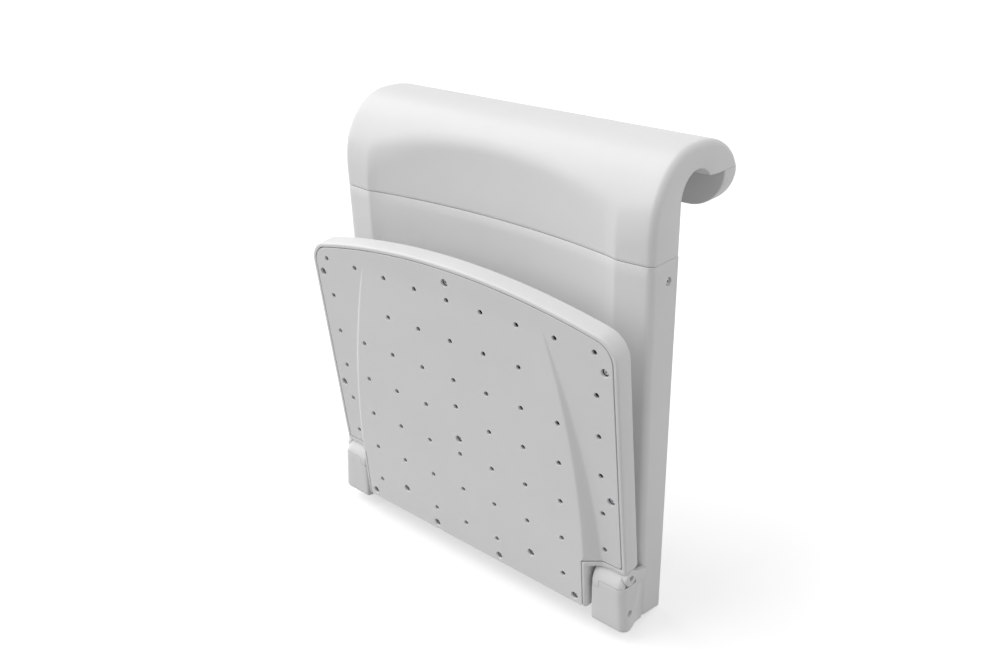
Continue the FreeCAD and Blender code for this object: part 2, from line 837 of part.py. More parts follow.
round_edges(housing, beveled, d.housing_edge_round, nose_edge)
pin_hole = Drawing(housing, "pin_hole", "YZ_Plane", housing_inner - 1).circle(centre, d.pin_radius + d.running)
pocket(housing, pin_hole, far, back=True)
lug_front = nose + d.lug_nose
lug_room = Drawing(housing, "lug_room", "XZ_Plane", -lug_front + d.slip)
lug_room.box((lug_mid - lug_half, lug_z - lug_rise), (lug_mid + lug_half, lug_z + lug_rise))
pocket(housing, lug_room, d.hinge_forward)
screw_y = hinge_y - d.housing_screw_y
screw_z = hinge_z - d.housing_screw_drop
head_x = lug_mid + lug_half + 3
head_end = head_x + d.head_thick
shank_hole = Drawing(housing, "shank_hole", "YZ_Plane", lug_mid).circle((screw_y, screw_z), d.screw_radius + d.slip)
pocket(housing, shank_hole, far - lug_mid, back=True)
head_hole = Drawing(housing, "head_hole", "YZ_Plane", head_x).circle((screw_y, screw_z), d.head_radius + d.slip)
pocket(housing, head_hole, far - head_x, back=True)
mirrored(housing, "hinge_housing_left")

lug = new_body("hinge_lug_right")
lug_face = Drawing(lug, "face", "XZ_Plane", -tube_front)
lug_face.box(
    (lug_mid - d.lug_wide / 2, lug_z - d.lug_tall / 2),
    (lug_mid + d.lug_wide / 2, lug_z + d.lug_tall / 2),
)
pad(lug, lug_face, tube_front - lug_front)
lug_bore = Drawing(lug, "bore", "YZ_Plane", lug_mid + d.lug_wide / 2)
lug_bore.circle((screw_y, screw_z), d.screw_radius + d.slip)
pocket(lug, lug_bore, d.screw_long)
mirrored(lug, "hinge_lug_left")

pin = new_body("hinge_pin_right")
rod = Drawing(pin, "rod", "YZ_Plane", housing_inner).circle(centre, d.pin_radius)
pad(pin, rod, half + d.ear_out - d.pin_recess - housing_inner)
mirrored(pin, "hinge_pin_left")

# Seat, drawn about the hinge axis: local Y is up from the seat's underside, local Z along its length.


def seat_outline(inset, tail_inset):
    side = seat_half - inset
    reach = d.seat_reach - inset
    radius = d.seat_front_round - inset
    corner = d.seat_corner - inset
    tail = tail_half - inset
    low = d.wing_low + inset * 1.4
    end = -d.tail_long + tail_inset
    turn_x = side - corner
    inner = radius - corner
    turn_s = reach - radius + root(inner * inner - turn_x * turn_x)
    stretch = radius / inner
    meet_x = turn_x * stretch
    meet_s = reach - radius + (turn_s - reach + radius) * stretch
    bend = polar(corner, 40, (turn_x, turn_s))
    return [
        (tail, end),
        (tail, low),
        (side, low),
        (side, turn_s),
        (meet_x, meet_s) + bend,
        (-meet_x, meet_s, size(0), reach),
        (-side, turn_s, -bend[0], bend[1]),
        (-side, low),
        (-tail, low),
        (-tail, end),
    ]


below = d.tail_long * 2


def wedge_plan(inset):
    """Plan of the raised middle, narrowed on both sides by an inset."""
    halfway = wedge_end / 2
    low = crease_foot(size(0)) - inset
    high = crease(wedge_end) - inset
    way = crease_foot(halfway) - inset
    return [
        (low, -below),
        (low, size(0)),
        (high, wedge_end, way, halfway),
        (-high, wedge_end),
        (-low, size(0), -way, halfway),
        (-low, -below),
    ]


def add_wedge(body, inset, tail_inset):
    """Raise the tapered middle of the underside and trim it to the outline."""
    sections = []
    for name, depth in (("wedge_foot", size(0)), ("wedge_crest", d.wedge_deep + 3)):
        flat = Drawing(body, name, "XZ_Plane", depth - under)
        sections.append(flat.loop(wedge_plan(d.wedge_run * depth)).done())
    wedge = body.newObject("PartDesign::AdditiveLoft", body.Label + "_wedge")
    wedge.Profile = sections[0]
    wedge.Sections = sections[1:]
    wedge.Ruled = True
    slope_line = Drawing(body, "slope", "YZ_Plane")
    slope_line.loop(below_slope(size(0)))
    pocket(body, slope_line, seat_half * 4, both=True)
    notch = Drawing(body, "notch", "XZ_Plane", -top - 10)
    low = d.wing_low + inset * 1.4
    wide = seat_half + 20
    end = -d.tail_long + tail_inset
    inner = tail_half - inset
    deep_end = -below - 10
    notch.loop([
        (-wide, low),
        (-inner, low),
        (-inner, end),
        (inner, end),
        (inner, low),
        (wide, low),
        (wide, deep_end),
        (-wide, deep_end),
    ])
    pocket(body, notch, d.seat_thick + d.wedge_deep + 40, back=True)


def below_slope(lift):
    """Everything under the raised middle, in side view."""
    tail_s = -below - 20
    tail_n = under - wedge_slope * (wedge_end - tail_s) + lift
    far_s = d.seat_reach + 40
    far_n = under - d.wedge_deep * 4
    return [
        (tail_n, tail_s),
        (under + lift, wedge_end),
        (under + lift, far_s),
        (far_n, far_s),
        (far_n, tail_s),
    ]


rows = [drop for drop in range(-3, 4)]
columns = [across for across in range(-4, 5)]


def drain_spots():
    spots = []
    for row in rows:
        for column in columns:
            wing = abs(column) == 4
            if wing and row == -3:
                continue
            if abs(column) == 3 and row == 2:
                continue
            if abs(column) == 2 and row == -3:
                continue
            shift = d.drain_shift if (row, column) == (0, 0) else 0
            spots.append((column_pitch * column, drain_middle + row_pitch * row + shift))
    return spots


post_x = seat_half - d.rim_wide - d.rim_line - d.post_radius - d.post_inset
upper_row = drain_middle + row_pitch * 2.6
lower_row = drain_middle - row_pitch * 0.58
inner_row = d.inner_screw_rise - d.tail_long
tail_row = d.tail_screw_rise - d.tail_long
cover_screws = [(size(0), d.seat_reach - d.drain_front / 2)]
for side in (-1, 1):
    cover_screws.append((side * post_x, upper_row))
    cover_screws.append((side * post_x, lower_row))
cover_screws.append((size(0), lower_row))
for side in (-1, 1):
    cover_screws.append((side * column_pitch * 2.055, inner_row))
    cover_screws.append((side * column_pitch * 1.04, tail_row))
    cover_screws.append((side * (tail_half - d.tail_screw_in), tail_row))

seat_top = new_body("seat_top_shell", placed=True)
whole = Drawing(seat_top, "outline", "XZ_Plane", -top).loop(seat_outline(size(0), size(0)))
slab = pad(seat_top, whole, d.seat_thick)


def sitting_edge(edge):
    if not ends_at(edge, lambda p: p.y, top.value):
        return False
    return all(vertex.Point.z > d.wing_low.value + 1 for vertex in edge.Vertexes) or edge.Length > seat_half.value


round_edges(seat_top, slab, d.seat_edge_round, sitting_edge)
add_wedge(seat_top, size(0), size(0))
room_top = top - d.top_wall
inner_room = Drawing(seat_top, "room", "XZ_Plane", -room_top).loop(seat_outline(d.rim_wide, d.rim_wide))
pocket(seat_top, inner_room, d.seat_thick + d.wedge_deep + 20, back=True)
post_top = under + d.cover_sheet + d.post_tall
tail_open = Drawing(seat_top, "tail_open", "YZ_Plane")
tail_open.box((under - d.wedge_deep * 2, -d.tail_long - 5), (under + d.cover_sheet + d.slip, d.rim_wide - d.tail_long + 1))
pocket(seat_top, tail_open, (tail_half - d.rim_wide) * 2, both=True)
posts = Drawing(seat_top, "posts", "XZ_Plane", -room_top - 1)
for spot in cover_screws:
    posts.circle(spot, d.post_radius)
pad(seat_top, posts, room_top + 1 - post_top)
threads = Drawing(seat_top, "threads", "XZ_Plane", -post_top)
for spot in cover_screws:
    threads.circle(spot, d.screw_radius + d.running)
pocket(seat_top, threads, d.screw_long - d.post_tall + 2)
relief_from = tail_half + 1
relief_long = seat_half + 5 - relief_from
for side, word in ((-1, "left"), (1, "right")):
    groove = Drawing(seat_top, "relief_" + word, "YZ_Plane", side * relief_from)
    groove.circle((size(0), size(0)), d.relief_round)
    pocket(seat_top, groove, relief_long, back=side > 0)
arm_inner = knuckle_inner + 0.5
arm_outer = arm_inner + d.arm_wide
arm_low = under + d.cover_sheet + d.slip
for side, word in ((-1, "left"), (1, "right")):
    gate = Drawing(seat_top, "gate_" + word, "YZ_Plane", side * (arm_inner - d.slip))
    gate.box((arm_low - d.slip, d.wing_low - 1), (room_top, d.wing_low + d.rim_wide * 1.4 + 2))
    pocket(seat_top, gate, d.arm_wide + d.slip * 2, back=side > 0)

# Underside cover with the drain holes, hollow behind the raised middle.
cover_inset = d.rim_wide + d.rim_line
under_raw = new_body("underside_raw", keep=False, placed=True)
lid = Drawing(under_raw, "lid", "XZ_Plane", -under - d.cover_sheet).loop(seat_outline(cover_inset, size(0)))
pad(under_raw, lid, d.cover_sheet)
add_wedge(under_raw, cover_inset, size(0))
lid_posts = Drawing(under_raw, "posts", "XZ_Plane", -under - d.cover_sheet + 1)
for spot in cover_screws[:6]:
    lid_posts.circle(spot, d.post_radius)
for across, place in cover_screws[6:]:
    lid_posts.circle((across, place), d.post_radius - 1)
pad(under_raw, lid_posts, d.post_tall + 1, back=True)
drains = Drawing(under_raw, "drains", "XZ_Plane", -top)
for spot in drain_spots():
    drains.circle(spot, d.drain_radius)
pocket(under_raw, drains, d.seat_thick + d.wedge_deep + 20, back=True)
lid_threads = Drawing(under_raw, "threads", "XZ_Plane", -top)
for spot in cover_screws:
    lid_threads.circle(spot, d.screw_radius + d.slip)
pocket(under_raw, lid_threads, d.seat_thick + d.wedge_deep + 20, back=True)
head_floor = under + d.head_sink + d.head_thick
lid_sinks = Drawing(under_raw, "sinks", "XZ_Plane", -head_floor)
for spot in cover_screws:
    lid_sinks.circle(spot, d.head_radius + d.slip * 2)
pocket(under_raw, lid_sinks, d.seat_thick + d.wedge_deep, back=True)

hollow_tool = new_body("underside_hollow", keep=False, placed=True)
room_s = d.cover_sheet - d.tail_long
room_half = tail_half - cover_inset - d.cover_sheet
halfway = wedge_end / 2
room_line = Drawing(hollow_tool, "line", "XZ_Plane", -under - d.cover_sheet - 1)
room_line.loop([
    (room_half - 3, room_s),
    (room_half - 3, size(0)),
    (crease(wedge_end) - 4, wedge_end, crease(halfway) - 4, halfway),
    (4 - crease(wedge_end), wedge_end),
    (3 - room_half, size(0), 4 - crease(halfway), halfway),
    (3 - room_half, room_s),
])
pad(hollow_tool, room_line, d.wedge_deep + 20)
keep_sheet = Drawing(hollow_tool, "keep_sheet", "YZ_Plane").loop(below_slope(d.cover_sheet))
pocket(hollow_tool, keep_sheet, seat_half * 4, both=True)
pillars = Drawing(hollow_tool, "pillars", "XZ_Plane", -top)
for spot in cover_screws[5:]:
    pillars.circle(spot, d.post_radius - 1)
pocket(hollow_tool, pillars, d.seat_thick + d.wedge_deep + 20, back=True)
underside = doc.addObject("Part::Cut", "seat_bottom_cover")
underside.Label = "seat_bottom_cover"
underside.Base = under_raw
underside.Tool = hollow_tool
nodes.append(underside)

# Arms, bushes and tube inside the seat.
arm = new_body("seat_arm_right", placed=True)
barrel = Drawing(arm, "barrel", "YZ_Plane", knuckle_inner).circle((size(0), size(0)), d.knuckle_radius)
pad(arm, barrel, d.knuckle_long)
strip = Drawing(arm, "strip", "YZ_Plane", arm_inner)
strip.box((arm_low, size(0)), (room_top, d.arm_long))
pad(arm, strip, d.arm_wide)
bore = Drawing(arm, "bore", "YZ_Plane", knuckle_inner - 1)
bore.circle((size(0), size(0)), d.pin_radius + d.running + d.bush_wall)
pocket(arm, bore, d.knuckle_long + 2, back=True)
mirrored(arm, "seat_arm_left")

bush = new_body("hinge_bush_right", placed=True)
ring = Drawing(bush, "ring", "YZ_Plane", knuckle_inner)
ring.circle((size(0), size(0)), d.pin_radius + d.running + d.bush_wall)
ring.circle((size(0), size(0)), d.pin_radius + d.running)
pad(bush, ring, d.knuckle_long)
mirrored(bush, "hinge_bush_left")

link = new_body("seat_cross_tube", placed=True)
tube = Drawing(link, "tube", "YZ_Plane")
tube_n = room_top - d.cross_tube_radius - d.slip
tube.circle((tube_n, d.cross_tube_s), d.cross_tube_radius)
tube.circle((tube_n, d.cross_tube_s), d.cross_tube_radius - d.cross_tube_wall)
pad(link, tube, arm_inner * 2, both=True)

# Screws.
along_x = FreeCAD.Rotation(Vector(0, 1, 0), 90)
against_x = FreeCAD.Rotation(Vector(0, 1, 0), -90)
along_front = FreeCAD.Rotation(Vector(1, 0, 0), 90)
side_start = half - side_sink + d.head_thick
for name, start, place_y, place_z in (
    ("side_screw", side_start, side_y, side_z),
    ("housing_screw", head_end, screw_y, screw_z),
):
    right = screw(name + "_r", (start, place_y, place_z), against_x, (-1, 0, 0))
    left = screw(name + "_l", (-start, place_y, place_z), along_x, (1, 0, 0))
    group(name + "s", [right, left])
back_screws = []
back_start = rear - rear_sink + d.head_thick
for number, (across, row) in enumerate(screw_spots):
    place = (across, back_start, row)
    back_screws.append(screw("rear_screw_%d" % number, place, along_front, (0, -1, 0)))
group("rear_cover_screws", back_screws)
into_seat = FreeCAD.Rotation(Vector(1, 0, 0), d.tilt.value - 90)
lean_c = cosine(d.tilt)
lean_s = sine(d.tilt)
under_screws = []
head_n = head_floor - d.head_thick
for number, (across, along) in enumerate(cover_screws):
    place = (across, hinge_y + head_n * lean_c - along * lean_s, hinge_z + head_n * lean_s + along * lean_c)
    under_screws.append(screw("cover_screw_%d" % number, place, into_seat, (0, lean_c, lean_s)))
group("seat_cover_screws", under_screws)

doc.recompute()
bad = []
for thing in doc.Objects:
    if "Invalid" in thing.State or "Error" in thing.State:
        bad.append("%s: %s" % (thing.Name, thing.State))
for node in nodes:
    if node.Shape.isNull() or not node.Shape.isValid():
        bad.append(node.Label + ": shape")
if bad:
    raise RuntimeError("; ".join(bad))

os.makedirs("parts", exist_ok=True)
for node in nodes:
    node.Shape.exportStep("parts/%s.step" % node.Label)
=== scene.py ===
"""Folding shower seat with a backrest that hooks over a wall rail, over the shared frame."""
import json
import math

import bmesh
import bpy
from mathutils import Matrix, Vector


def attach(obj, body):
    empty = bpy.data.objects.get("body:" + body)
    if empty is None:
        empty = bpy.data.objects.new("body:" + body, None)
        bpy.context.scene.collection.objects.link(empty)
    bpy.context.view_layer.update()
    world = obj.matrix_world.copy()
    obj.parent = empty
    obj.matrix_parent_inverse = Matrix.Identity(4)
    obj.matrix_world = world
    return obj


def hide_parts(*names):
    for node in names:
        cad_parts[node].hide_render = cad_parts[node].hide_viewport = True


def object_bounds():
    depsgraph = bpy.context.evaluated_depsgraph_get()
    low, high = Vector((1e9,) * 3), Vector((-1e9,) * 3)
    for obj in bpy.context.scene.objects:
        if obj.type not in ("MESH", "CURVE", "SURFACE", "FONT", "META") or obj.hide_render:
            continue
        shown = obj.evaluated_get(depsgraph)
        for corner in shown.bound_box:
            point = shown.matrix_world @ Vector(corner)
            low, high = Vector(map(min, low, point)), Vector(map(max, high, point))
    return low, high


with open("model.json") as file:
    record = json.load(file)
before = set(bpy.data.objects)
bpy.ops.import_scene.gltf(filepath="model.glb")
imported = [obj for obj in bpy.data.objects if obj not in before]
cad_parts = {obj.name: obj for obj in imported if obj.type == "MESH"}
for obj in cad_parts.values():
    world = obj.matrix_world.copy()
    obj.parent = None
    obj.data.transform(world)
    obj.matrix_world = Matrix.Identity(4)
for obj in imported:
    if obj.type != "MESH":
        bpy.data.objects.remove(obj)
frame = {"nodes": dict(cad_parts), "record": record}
cad_box = [list(corner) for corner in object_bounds()]

# Lengths are millimetres in the shared frame; node trees and materials work in metres.
MM = 0.001
SHARP = math.radians(32.0)
BOTH = (-1.0, 1.0)
SIDES = tuple(zip(BOTH, ("left", "right")))

# Back panel
HALF = 201.0             # half its width
REAR = -25.0             # open rear edge of the shell
FOOT = -440.5            # lowest level
PARTING = -48.6          # joint with the hook
FRONT = -69.0            # front of the margins under the nose
LEAN = 0.019             # how the front runs back towards the foot
RIDGE = 162.0            # ridge between margin and recess
RIDGE_REACH = 6.0        # how near the ridge is rounded
RIDGE_STEP = 0.7
MARGIN_FALL = 3.0        # fall of the margin towards the sides
STEP, STEP_FALL = 7.0, 3.0    # width and depth of the slope inside the ridge
SLOPE_BLEND = 2.5
RECESS = 17.0            # deepest place of the recess
RECESS_LOW = 1.5         # depth that is left of it behind the seat's tail
BASE_TOP = -311.8        # where the recess starts to fill up
END_ROUND = 7.0          # rounding of the sides
SHELL_WALL = 3.0
FOOT_ROUND = 2.5
FOOT_SLOPE = 0.181       # rise of the foot towards the front
FOOT_BAND = (-418.0, -438.0)
WINDOW = ((-166.0, -90.0, -415.5), (166.0, -40.0, -350.8))
WINDOW_CORNER = 6.0
SIDE_SCREW = (-38.8, -68.8)
SIDE_SINK = ((0.0, 4.1), (0.5, 4.1), (1.0, 5.6))
REAR_SCREWS = [(side * 182.0, -26.0, z) for side in BOTH for z in (-104.0, -215.5, -327.0)]

# Hook and its lip
HOOK_TOP = 48.6
NOSE_ROUND = 58.0        # radius of the upper nose
NOSE_SWELL = 95.0        # radius of the lower nose
NOSE_TURN = math.radians(36.3)
SWELL_Z = HOOK_TOP - NOSE_ROUND - (NOSE_SWELL - NOSE_ROUND) * math.sin(NOSE_TURN)
SHOULDER = 6.0           # soft change from nose to recess
BACK_Y, BACK_Z = 6.8, 5.0     # middle of the oval behind the nose
ARCH = 25.0              # radius over the rail
MOUTH_ROUND = 1.2
WALL = 71.0              # plane of the wall
LIP_TOP = 14.34          # joint between hook and lip
LIP_GAP = 0.7            # half the joint
LIP_LOW = -26.0
LIP_CORNER = 38.0
LIP_STRAIGHT = 56.0      # where the lip starts to follow the oval

# Seat, in its own axes: across, sitting level, distance from the hinge
HINGE = (-84.6, -367.0)
TILT = math.radians(6.19)
SIDE = 204.5
REACH = 292.0
FRONT_ARC = 835.0
SEAT_CORNER = 27.0
TAIL_HALF = 164.0
TAIL = -46.7
TAIL_ROUND = 2.0
WING_LOW = 5.5
WING_SHARE = 1.4         # how an inset lifts the wing's lower edge
WING_ROUND = 3.0
SITTING = 14.8
SITTING_ROUND = 4.0
UNDER = -7.2
UNDER_ROUND = 2.2
SWELL_RISE, SWELL_END = 0.048, 257.6
CREASE_HALF, CREASE_BEND = 162.0, 1640.0
CREASE_SLOPE = 1.2
COVER_WALL = 2.6
RIM = 4.5                # width of the rim round the cover
LINE = 1.0               # dark line between rim and cover
EDGE_BREAK = 1.35        # chamfer on both sides of the line
BARREL_RELIEF = 9.3
HOLE_PITCH = 45.0
HOLE_ROW = 119.0
MIDDLE_HOLE_SHIFT = 13.7
COVER_SCREWS = [(0.0, 273.0), (0.0, 92.9)] + [
    (side * x, s) for side in BOTH
    for x, s in ((190.4, 236.0), (190.4, 92.9), (92.5, -10.8), (46.8, -37.5), (149.0, -37.5))
]
SCREW_SINKS = {"Hole Radius": 0.0041, "Edge Radius": 0.0045, "Edge Depth": 0.0004, "Depth": 0.006}
SCREW_DEPTH = 4.2        # heads below the cover's face
SLAB_HALF = 225.0
SLAB_TOP = SITTING + 9.0

# Hinge blocks with their caps
DECK = -375.2            # joint between block and cap
NOSE_R = 21.0
NOSE_C = (-78.5, -380.0)
BLOCK_IN = 167.6
BLOCK_LOW = -427.0
BLOCK_REAR = -57.5
BLOCK_ROUND = 5.0        # lower edge
BLOCK_SMALL, BLOCK_LARGE = 3.0, 8.0    # inner and outer upright edges
EAR_OUT = 206.0
EAR_FLARE = 3.9
EAR_ROUND = 8.6
EAR_MIDDLE = (-79.0, -367.5)
EAR_WEB = ((HINGE[0] + 8.2, -383.0), (BLOCK_REAR, -383.0), (BLOCK_REAR, -369.0), (-72.0, -364.6))
EAR_STEPS = ((200.1, 0.3), (200.4, 0.0), (204.6, 0.0), (205.3, 0.25), (205.8, 0.75), (206.0, 1.4))
TROUGH, TROUGH_END = 16.6, 204.6       # room in the block for the turning cap
TROUGH_LENGTH, TROUGH_STRAIGHT, TROUGH_ROUND = 44.6, 37.8, 5.8
SKIRT_ROOM, SKIRT_ROOM_END = 22.1, 177.3
CUTTER_START = 160.0
CAP_ROUND = 6.8          # outer upright edge of the cap
CAP_TOP = -364.9
CAP_GAP = 0.12
BARREL = 7.9
SKIRT_END = 176.9
SKIRT_LOW = -383.1
BOSS_ROOM = 9.0          # round the ear
PIN_ROOM = 3.4
PIN_BORE = ((0.0, 3.1), (0.84, 3.1), (1.0, 3.6))
PIN = ((0.0, 3.5), (0.02, 4.0), (0.98, 4.0), (1.0, 3.5))
# Radii of a dark grey disc that sits nearly flush in the pin's bore, so that the hole shows dark
BORE_DISC = ((0.0, 3.05), (0.9, 3.05), (1.0, 2.6))
HOUSING_SCREW = (-88.8, -406.0)
HOUSING_SINK = ((0.0, 3.7), (0.9, 3.7), (1.0, 4.4))
BAR_SECTION = ((185.5, -3.4), (195.0, -3.4), (195.0, 8.4), (185.5, 8.4))

# Studio
WHITE = (1.0, 1.0, 1.0, 1.0)
AMBIENT = 0.34
FLOOR_TONE, FLOOR_SEEN, FLOOR_LIFT = 0.33, 0.72, 0.5
FLOOR_HALF = 14.0        # metres
LAMPS = (
    ("key", (-0.70, -0.37, 0.61), 2.5, 80.0),
    ("side_fill", (0.96, 0.18, 0.2), 1.0, 110.0),
)
RELIEF = 0.0001          # metres of fine relief in a finish


def node_tree(owner):
    owner.use_nodes = True
    owner.node_tree.nodes.clear()
    return owner.node_tree


def add_node(tree, kind, inputs=None, **settings):
    """A node with its settings made first and then its inputs by name."""
    node = tree.nodes.new(kind)
    for name, setting in settings.items():
        setattr(node, name, setting)
    for name, value in (inputs or {}).items():
        node.inputs[name].default_value = value
    return node


def link(tree, *pairs):
    for source, target in pairs:
        tree.links.new(source, target)


def feed(tree, socket, item):
    """Sets a socket to a number or links it to another socket."""
    if isinstance(item, float):
        socket.default_value = item
    else:
        tree.links.new(item, socket)


def worked_out(tree, operation, *items):
    """What a math node makes of numbers and sockets."""
    node = add_node(tree, "ShaderNodeMath", operation=operation)
    for k, item in enumerate(items):
        feed(tree, node.inputs[k], item)
    return node.outputs["Value"]


def moulded_skin_group():
    """Fine moulded grain, faint cloudiness of the pigment and uneven gloss."""
    group = bpy.data.node_groups.new("moulded_skin", "ShaderNodeTree")
    for name, kind, start in (
        ("Tone", "NodeSocketColor", (0.8, 0.8, 0.8, 1.0)),
        ("Shade", "NodeSocketColor", (0.75, 0.75, 0.75, 1.0)),
        ("Grain Scale", "NodeSocketFloat", 2200.0),
        ("Gloss Low", "NodeSocketFloat", 0.38),
        ("Gloss High", "NodeSocketFloat", 0.5),
    ):
        socket = group.interface.new_socket(name=name, in_out="INPUT", socket_type=kind)
        socket.default_value = start
    for name, kind in (
        ("Color", "NodeSocketColor"),
        ("Roughness", "NodeSocketFloat"),
        ("Height", "NodeSocketFloat"),
    ):
        group.interface.new_socket(name=name, in_out="OUTPUT", socket_type=kind)
    given = add_node(group, "NodeGroupInput").outputs
    result = add_node(group, "NodeGroupOutput").inputs
    place = add_node(group, "ShaderNodeTexCoord").outputs["Object"]
    cloud = add_node(group, "ShaderNodeTexNoise", {"Scale": 14.0, "Detail": 3.0, "Roughness": 0.55})
    fine = add_node(group, "ShaderNodeTexNoise", {"Detail": 2.0})
    spread = add_node(group, "ShaderNodeMapRange", {"From Min": 0.3, "From Max": 0.7})
    tint = add_node(group, "ShaderNodeMix", data_type="RGBA")
    gloss = add_node(group, "ShaderNodeMapRange", {"From Min": 0.35, "From Max": 0.65})
    link(
        group,
        (place, cloud.inputs["Vector"]),
        (place, fine.inputs["Vector"]),
        (given["Grain Scale"], fine.inputs["Scale"]),
        (cloud.outputs["Fac"], spread.inputs["Value"]),
        (spread.outputs["Result"], tint.inputs["Factor"]),
        (given["Shade"], tint.inputs["A"]),
        (given["Tone"], tint.inputs["B"]),
        (tint.outputs["Result"], result["Color"]),
        (fine.outputs["Fac"], gloss.inputs["Value"]),
        (given["Gloss Low"], gloss.inputs["To Min"]),
        (given["Gloss High"], gloss.inputs["To Max"]),
        (gloss.outputs["Result"], result["Roughness"]),
        (fine.outputs["Fac"], result["Height"]),
    )
    return group


SKIN = moulded_skin_group()


def surface(tree, colour, roughness, height, bump, metallic):
    """Ends a material with its colour, roughness and fine relief."""
    relief = add_node(tree, "ShaderNodeBump", {"Strength": bump, "Distance": RELIEF})
    shader = add_node(tree, "ShaderNodeBsdfPrincipled", {"Metallic": metallic})
    out = add_node(tree, "ShaderNodeOutputMaterial")
    link(
        tree,
        (colour, shader.inputs["Base Color"]),
        (roughness, shader.inputs["Roughness"]),
        (height, relief.inputs["Height"]),
        (relief.outputs["Normal"], shader.inputs["Normal"]),
        (shader.outputs["BSDF"], out.inputs["Surface"]),
    )


def moulded(name, tone, shade, grain, gloss, bump):
    """Satin moulded or painted surface with its own grain and gloss."""
    material = bpy.data.materials.new(name)
    tree = node_tree(material)
    skin = add_node(tree, "ShaderNodeGroup", {
        "Tone": tone + (1.0,),
        "Shade": shade + (1.0,),
        "Grain Scale": grain,
        "Gloss Low": gloss[0],
        "Gloss High": gloss[1],
    }, node_tree=SKIN).outputs
    surface(tree, skin["Color"], skin["Roughness"], skin["Height"], bump, 0.0)
    return material


def drawn_metal(name, tone, shade, stretch, rough):
    """Metal with fine draw lines along one direction."""
    material = bpy.data.materials.new(name)
    tree = node_tree(material)
    place = add_node(tree, "ShaderNodeTexCoord")
    along = add_node(tree, "ShaderNodeMapping", {"Scale": stretch})
    lines = add_node(tree, "ShaderNodeTexNoise", {"Scale": 1.0, "Detail": 3.0})
    colour = add_node(tree, "ShaderNodeMix", data_type="RGBA")
    colour.inputs["A"].default_value = shade + (1.0,)
    colour.inputs["B"].default_value = tone + (1.0,)
    roughness = add_node(tree, "ShaderNodeMapRange", {"To Min": rough[0], "To Max": rough[1]})
    link(
        tree,
        (place.outputs["Object"], along.inputs["Vector"]),
        (along.outputs["Vector"], lines.inputs["Vector"]),
        (lines.outputs["Fac"], colour.inputs["Factor"]),
        (lines.outputs["Fac"], roughness.inputs["Value"]),
    )
    surface(tree, colour.outputs["Result"], roughness.outputs["Result"], lines.outputs["Fac"],
            0.15, 1.0)
    return material


FINISH = {row[0]: moulded(*row) for row in (
    # slot, tone, shade, grain scale, gloss from and to, bump
    ("white_shell", (0.80, 0.80, 0.80), (0.78, 0.78, 0.785), 2600.0, (0.36, 0.46), 0.10),
    ("white_cast", (0.78, 0.78, 0.785), (0.76, 0.76, 0.765), 1500.0, (0.42, 0.54), 0.16),
    ("grey_rubber", (0.10, 0.10, 0.105), (0.08, 0.08, 0.083), 900.0, (0.7, 0.85), 0.3),
    ("grey_plastic", (0.30, 0.31, 0.32), (0.27, 0.28, 0.29), 1500.0, (0.45, 0.6), 0.2),
)}
FINISH.update({row[0]: drawn_metal(*row) for row in (
    # slot, tone, shade, scale of the draw lines, roughness from and to
    ("frame_metal", (0.74, 0.75, 0.76), (0.62, 0.63, 0.64), (900.0, 900.0, 14.0), (0.3, 0.5)),
    ("bright_steel", (0.46, 0.46, 0.47), (0.38, 0.38, 0.39), (1400.0, 1400.0, 1400.0), (0.2, 0.36)),
)})
for part in frame["record"]["subparts"]:
    node = frame["nodes"][part["node"]]
    if not node.material_slots:
        node.data.materials.append(None)
    for place in node.material_slots:
        place.material = FINISH[part["material_slot"]]


def smooth_step(low, high, value):
    share = min(max((value - low) / (high - low), 0.0), 1.0)
    return share * share * (3.0 - 2.0 * share)


def soft_max(a, b, reach):
    """The larger of two, with the change-over rounded within a reach."""
    if reach <= 0.0:
        return max(a, b)
    near = max(reach - abs(a - b), 0.0) / reach
    return max(a, b) + near * near * reach / 4.0


def soft_min(a, b, reach):
    return -soft_max(-a, -b, reach)


def round_off(radius, inward):
    """How far a rounded edge has fallen at a distance from where it ends."""
    gap = max(radius - inward, 0.0)
    return radius - math.sqrt(max(radius * radius - gap * gap, 0.0))


def new_piece(name, points, faces, slot="white_shell"):
    """A closed mesh from points in millimetres, its faces outward."""
    mesh = bpy.data.meshes.new(name)
    mesh.from_pydata([(x * MM, y * MM, z * MM) for x, y, z in points], [], faces)
    work = bmesh.new()
    work.from_mesh(mesh)
    bmesh.ops.remove_doubles(work, verts=work.verts, dist=1e-7)
    bmesh.ops.recalc_face_normals(work, faces=work.faces)
    work.to_mesh(mesh)
    work.free()
    mesh.materials.append(FINISH[slot])
    piece = bpy.data.objects.new(name, mesh)
    bpy.context.collection.objects.link(piece)
    return piece


def stack(name, loops, slot="white_shell"):
    """Skin over closed loops with equal counts, with both ends shut."""
    count = len(loops[0])
    faces = []
    for base in range(0, (len(loops) - 1) * count, count):
        for k in range(count):
            following = (k + 1) % count
            faces.append((base + k, base + following, base + count + following, base + count + k))
    faces.append(tuple(range(count)))
    faces.append(tuple(range((len(loops) - 1) * count, len(loops) * count)))
    return new_piece(name, [point for loop in loops for point in loop], faces, slot)


def two_sheets(outer, inner):
    """Points and faces of two sheets with equal counts, joined along their sides."""
    count = len(outer[0])
    shift = count * len(outer)
    points = [point for row in outer + inner for point in row]
    faces = []
    for row in range(len(outer) - 1):
        for k in range(count - 1):
            a, b = row * count + k, (row + 1) * count + k
            faces.append((a, a + 1, b + 1, b))
            faces.append((shift + a, shift + b, shift + b + 1, shift + a + 1))
        for k in (0, count - 1):
            a, b = row * count + k, (row + 1) * count + k
            faces.append((a, b, shift + b, shift + a))
    return points, faces


def end_strip(row, count, shift):
    """Faces that join two sheets along one of their rows."""
    places = range(row * count, row * count + count - 1)
    return [(a, a + 1, shift + a + 1, shift + a) for a in places]


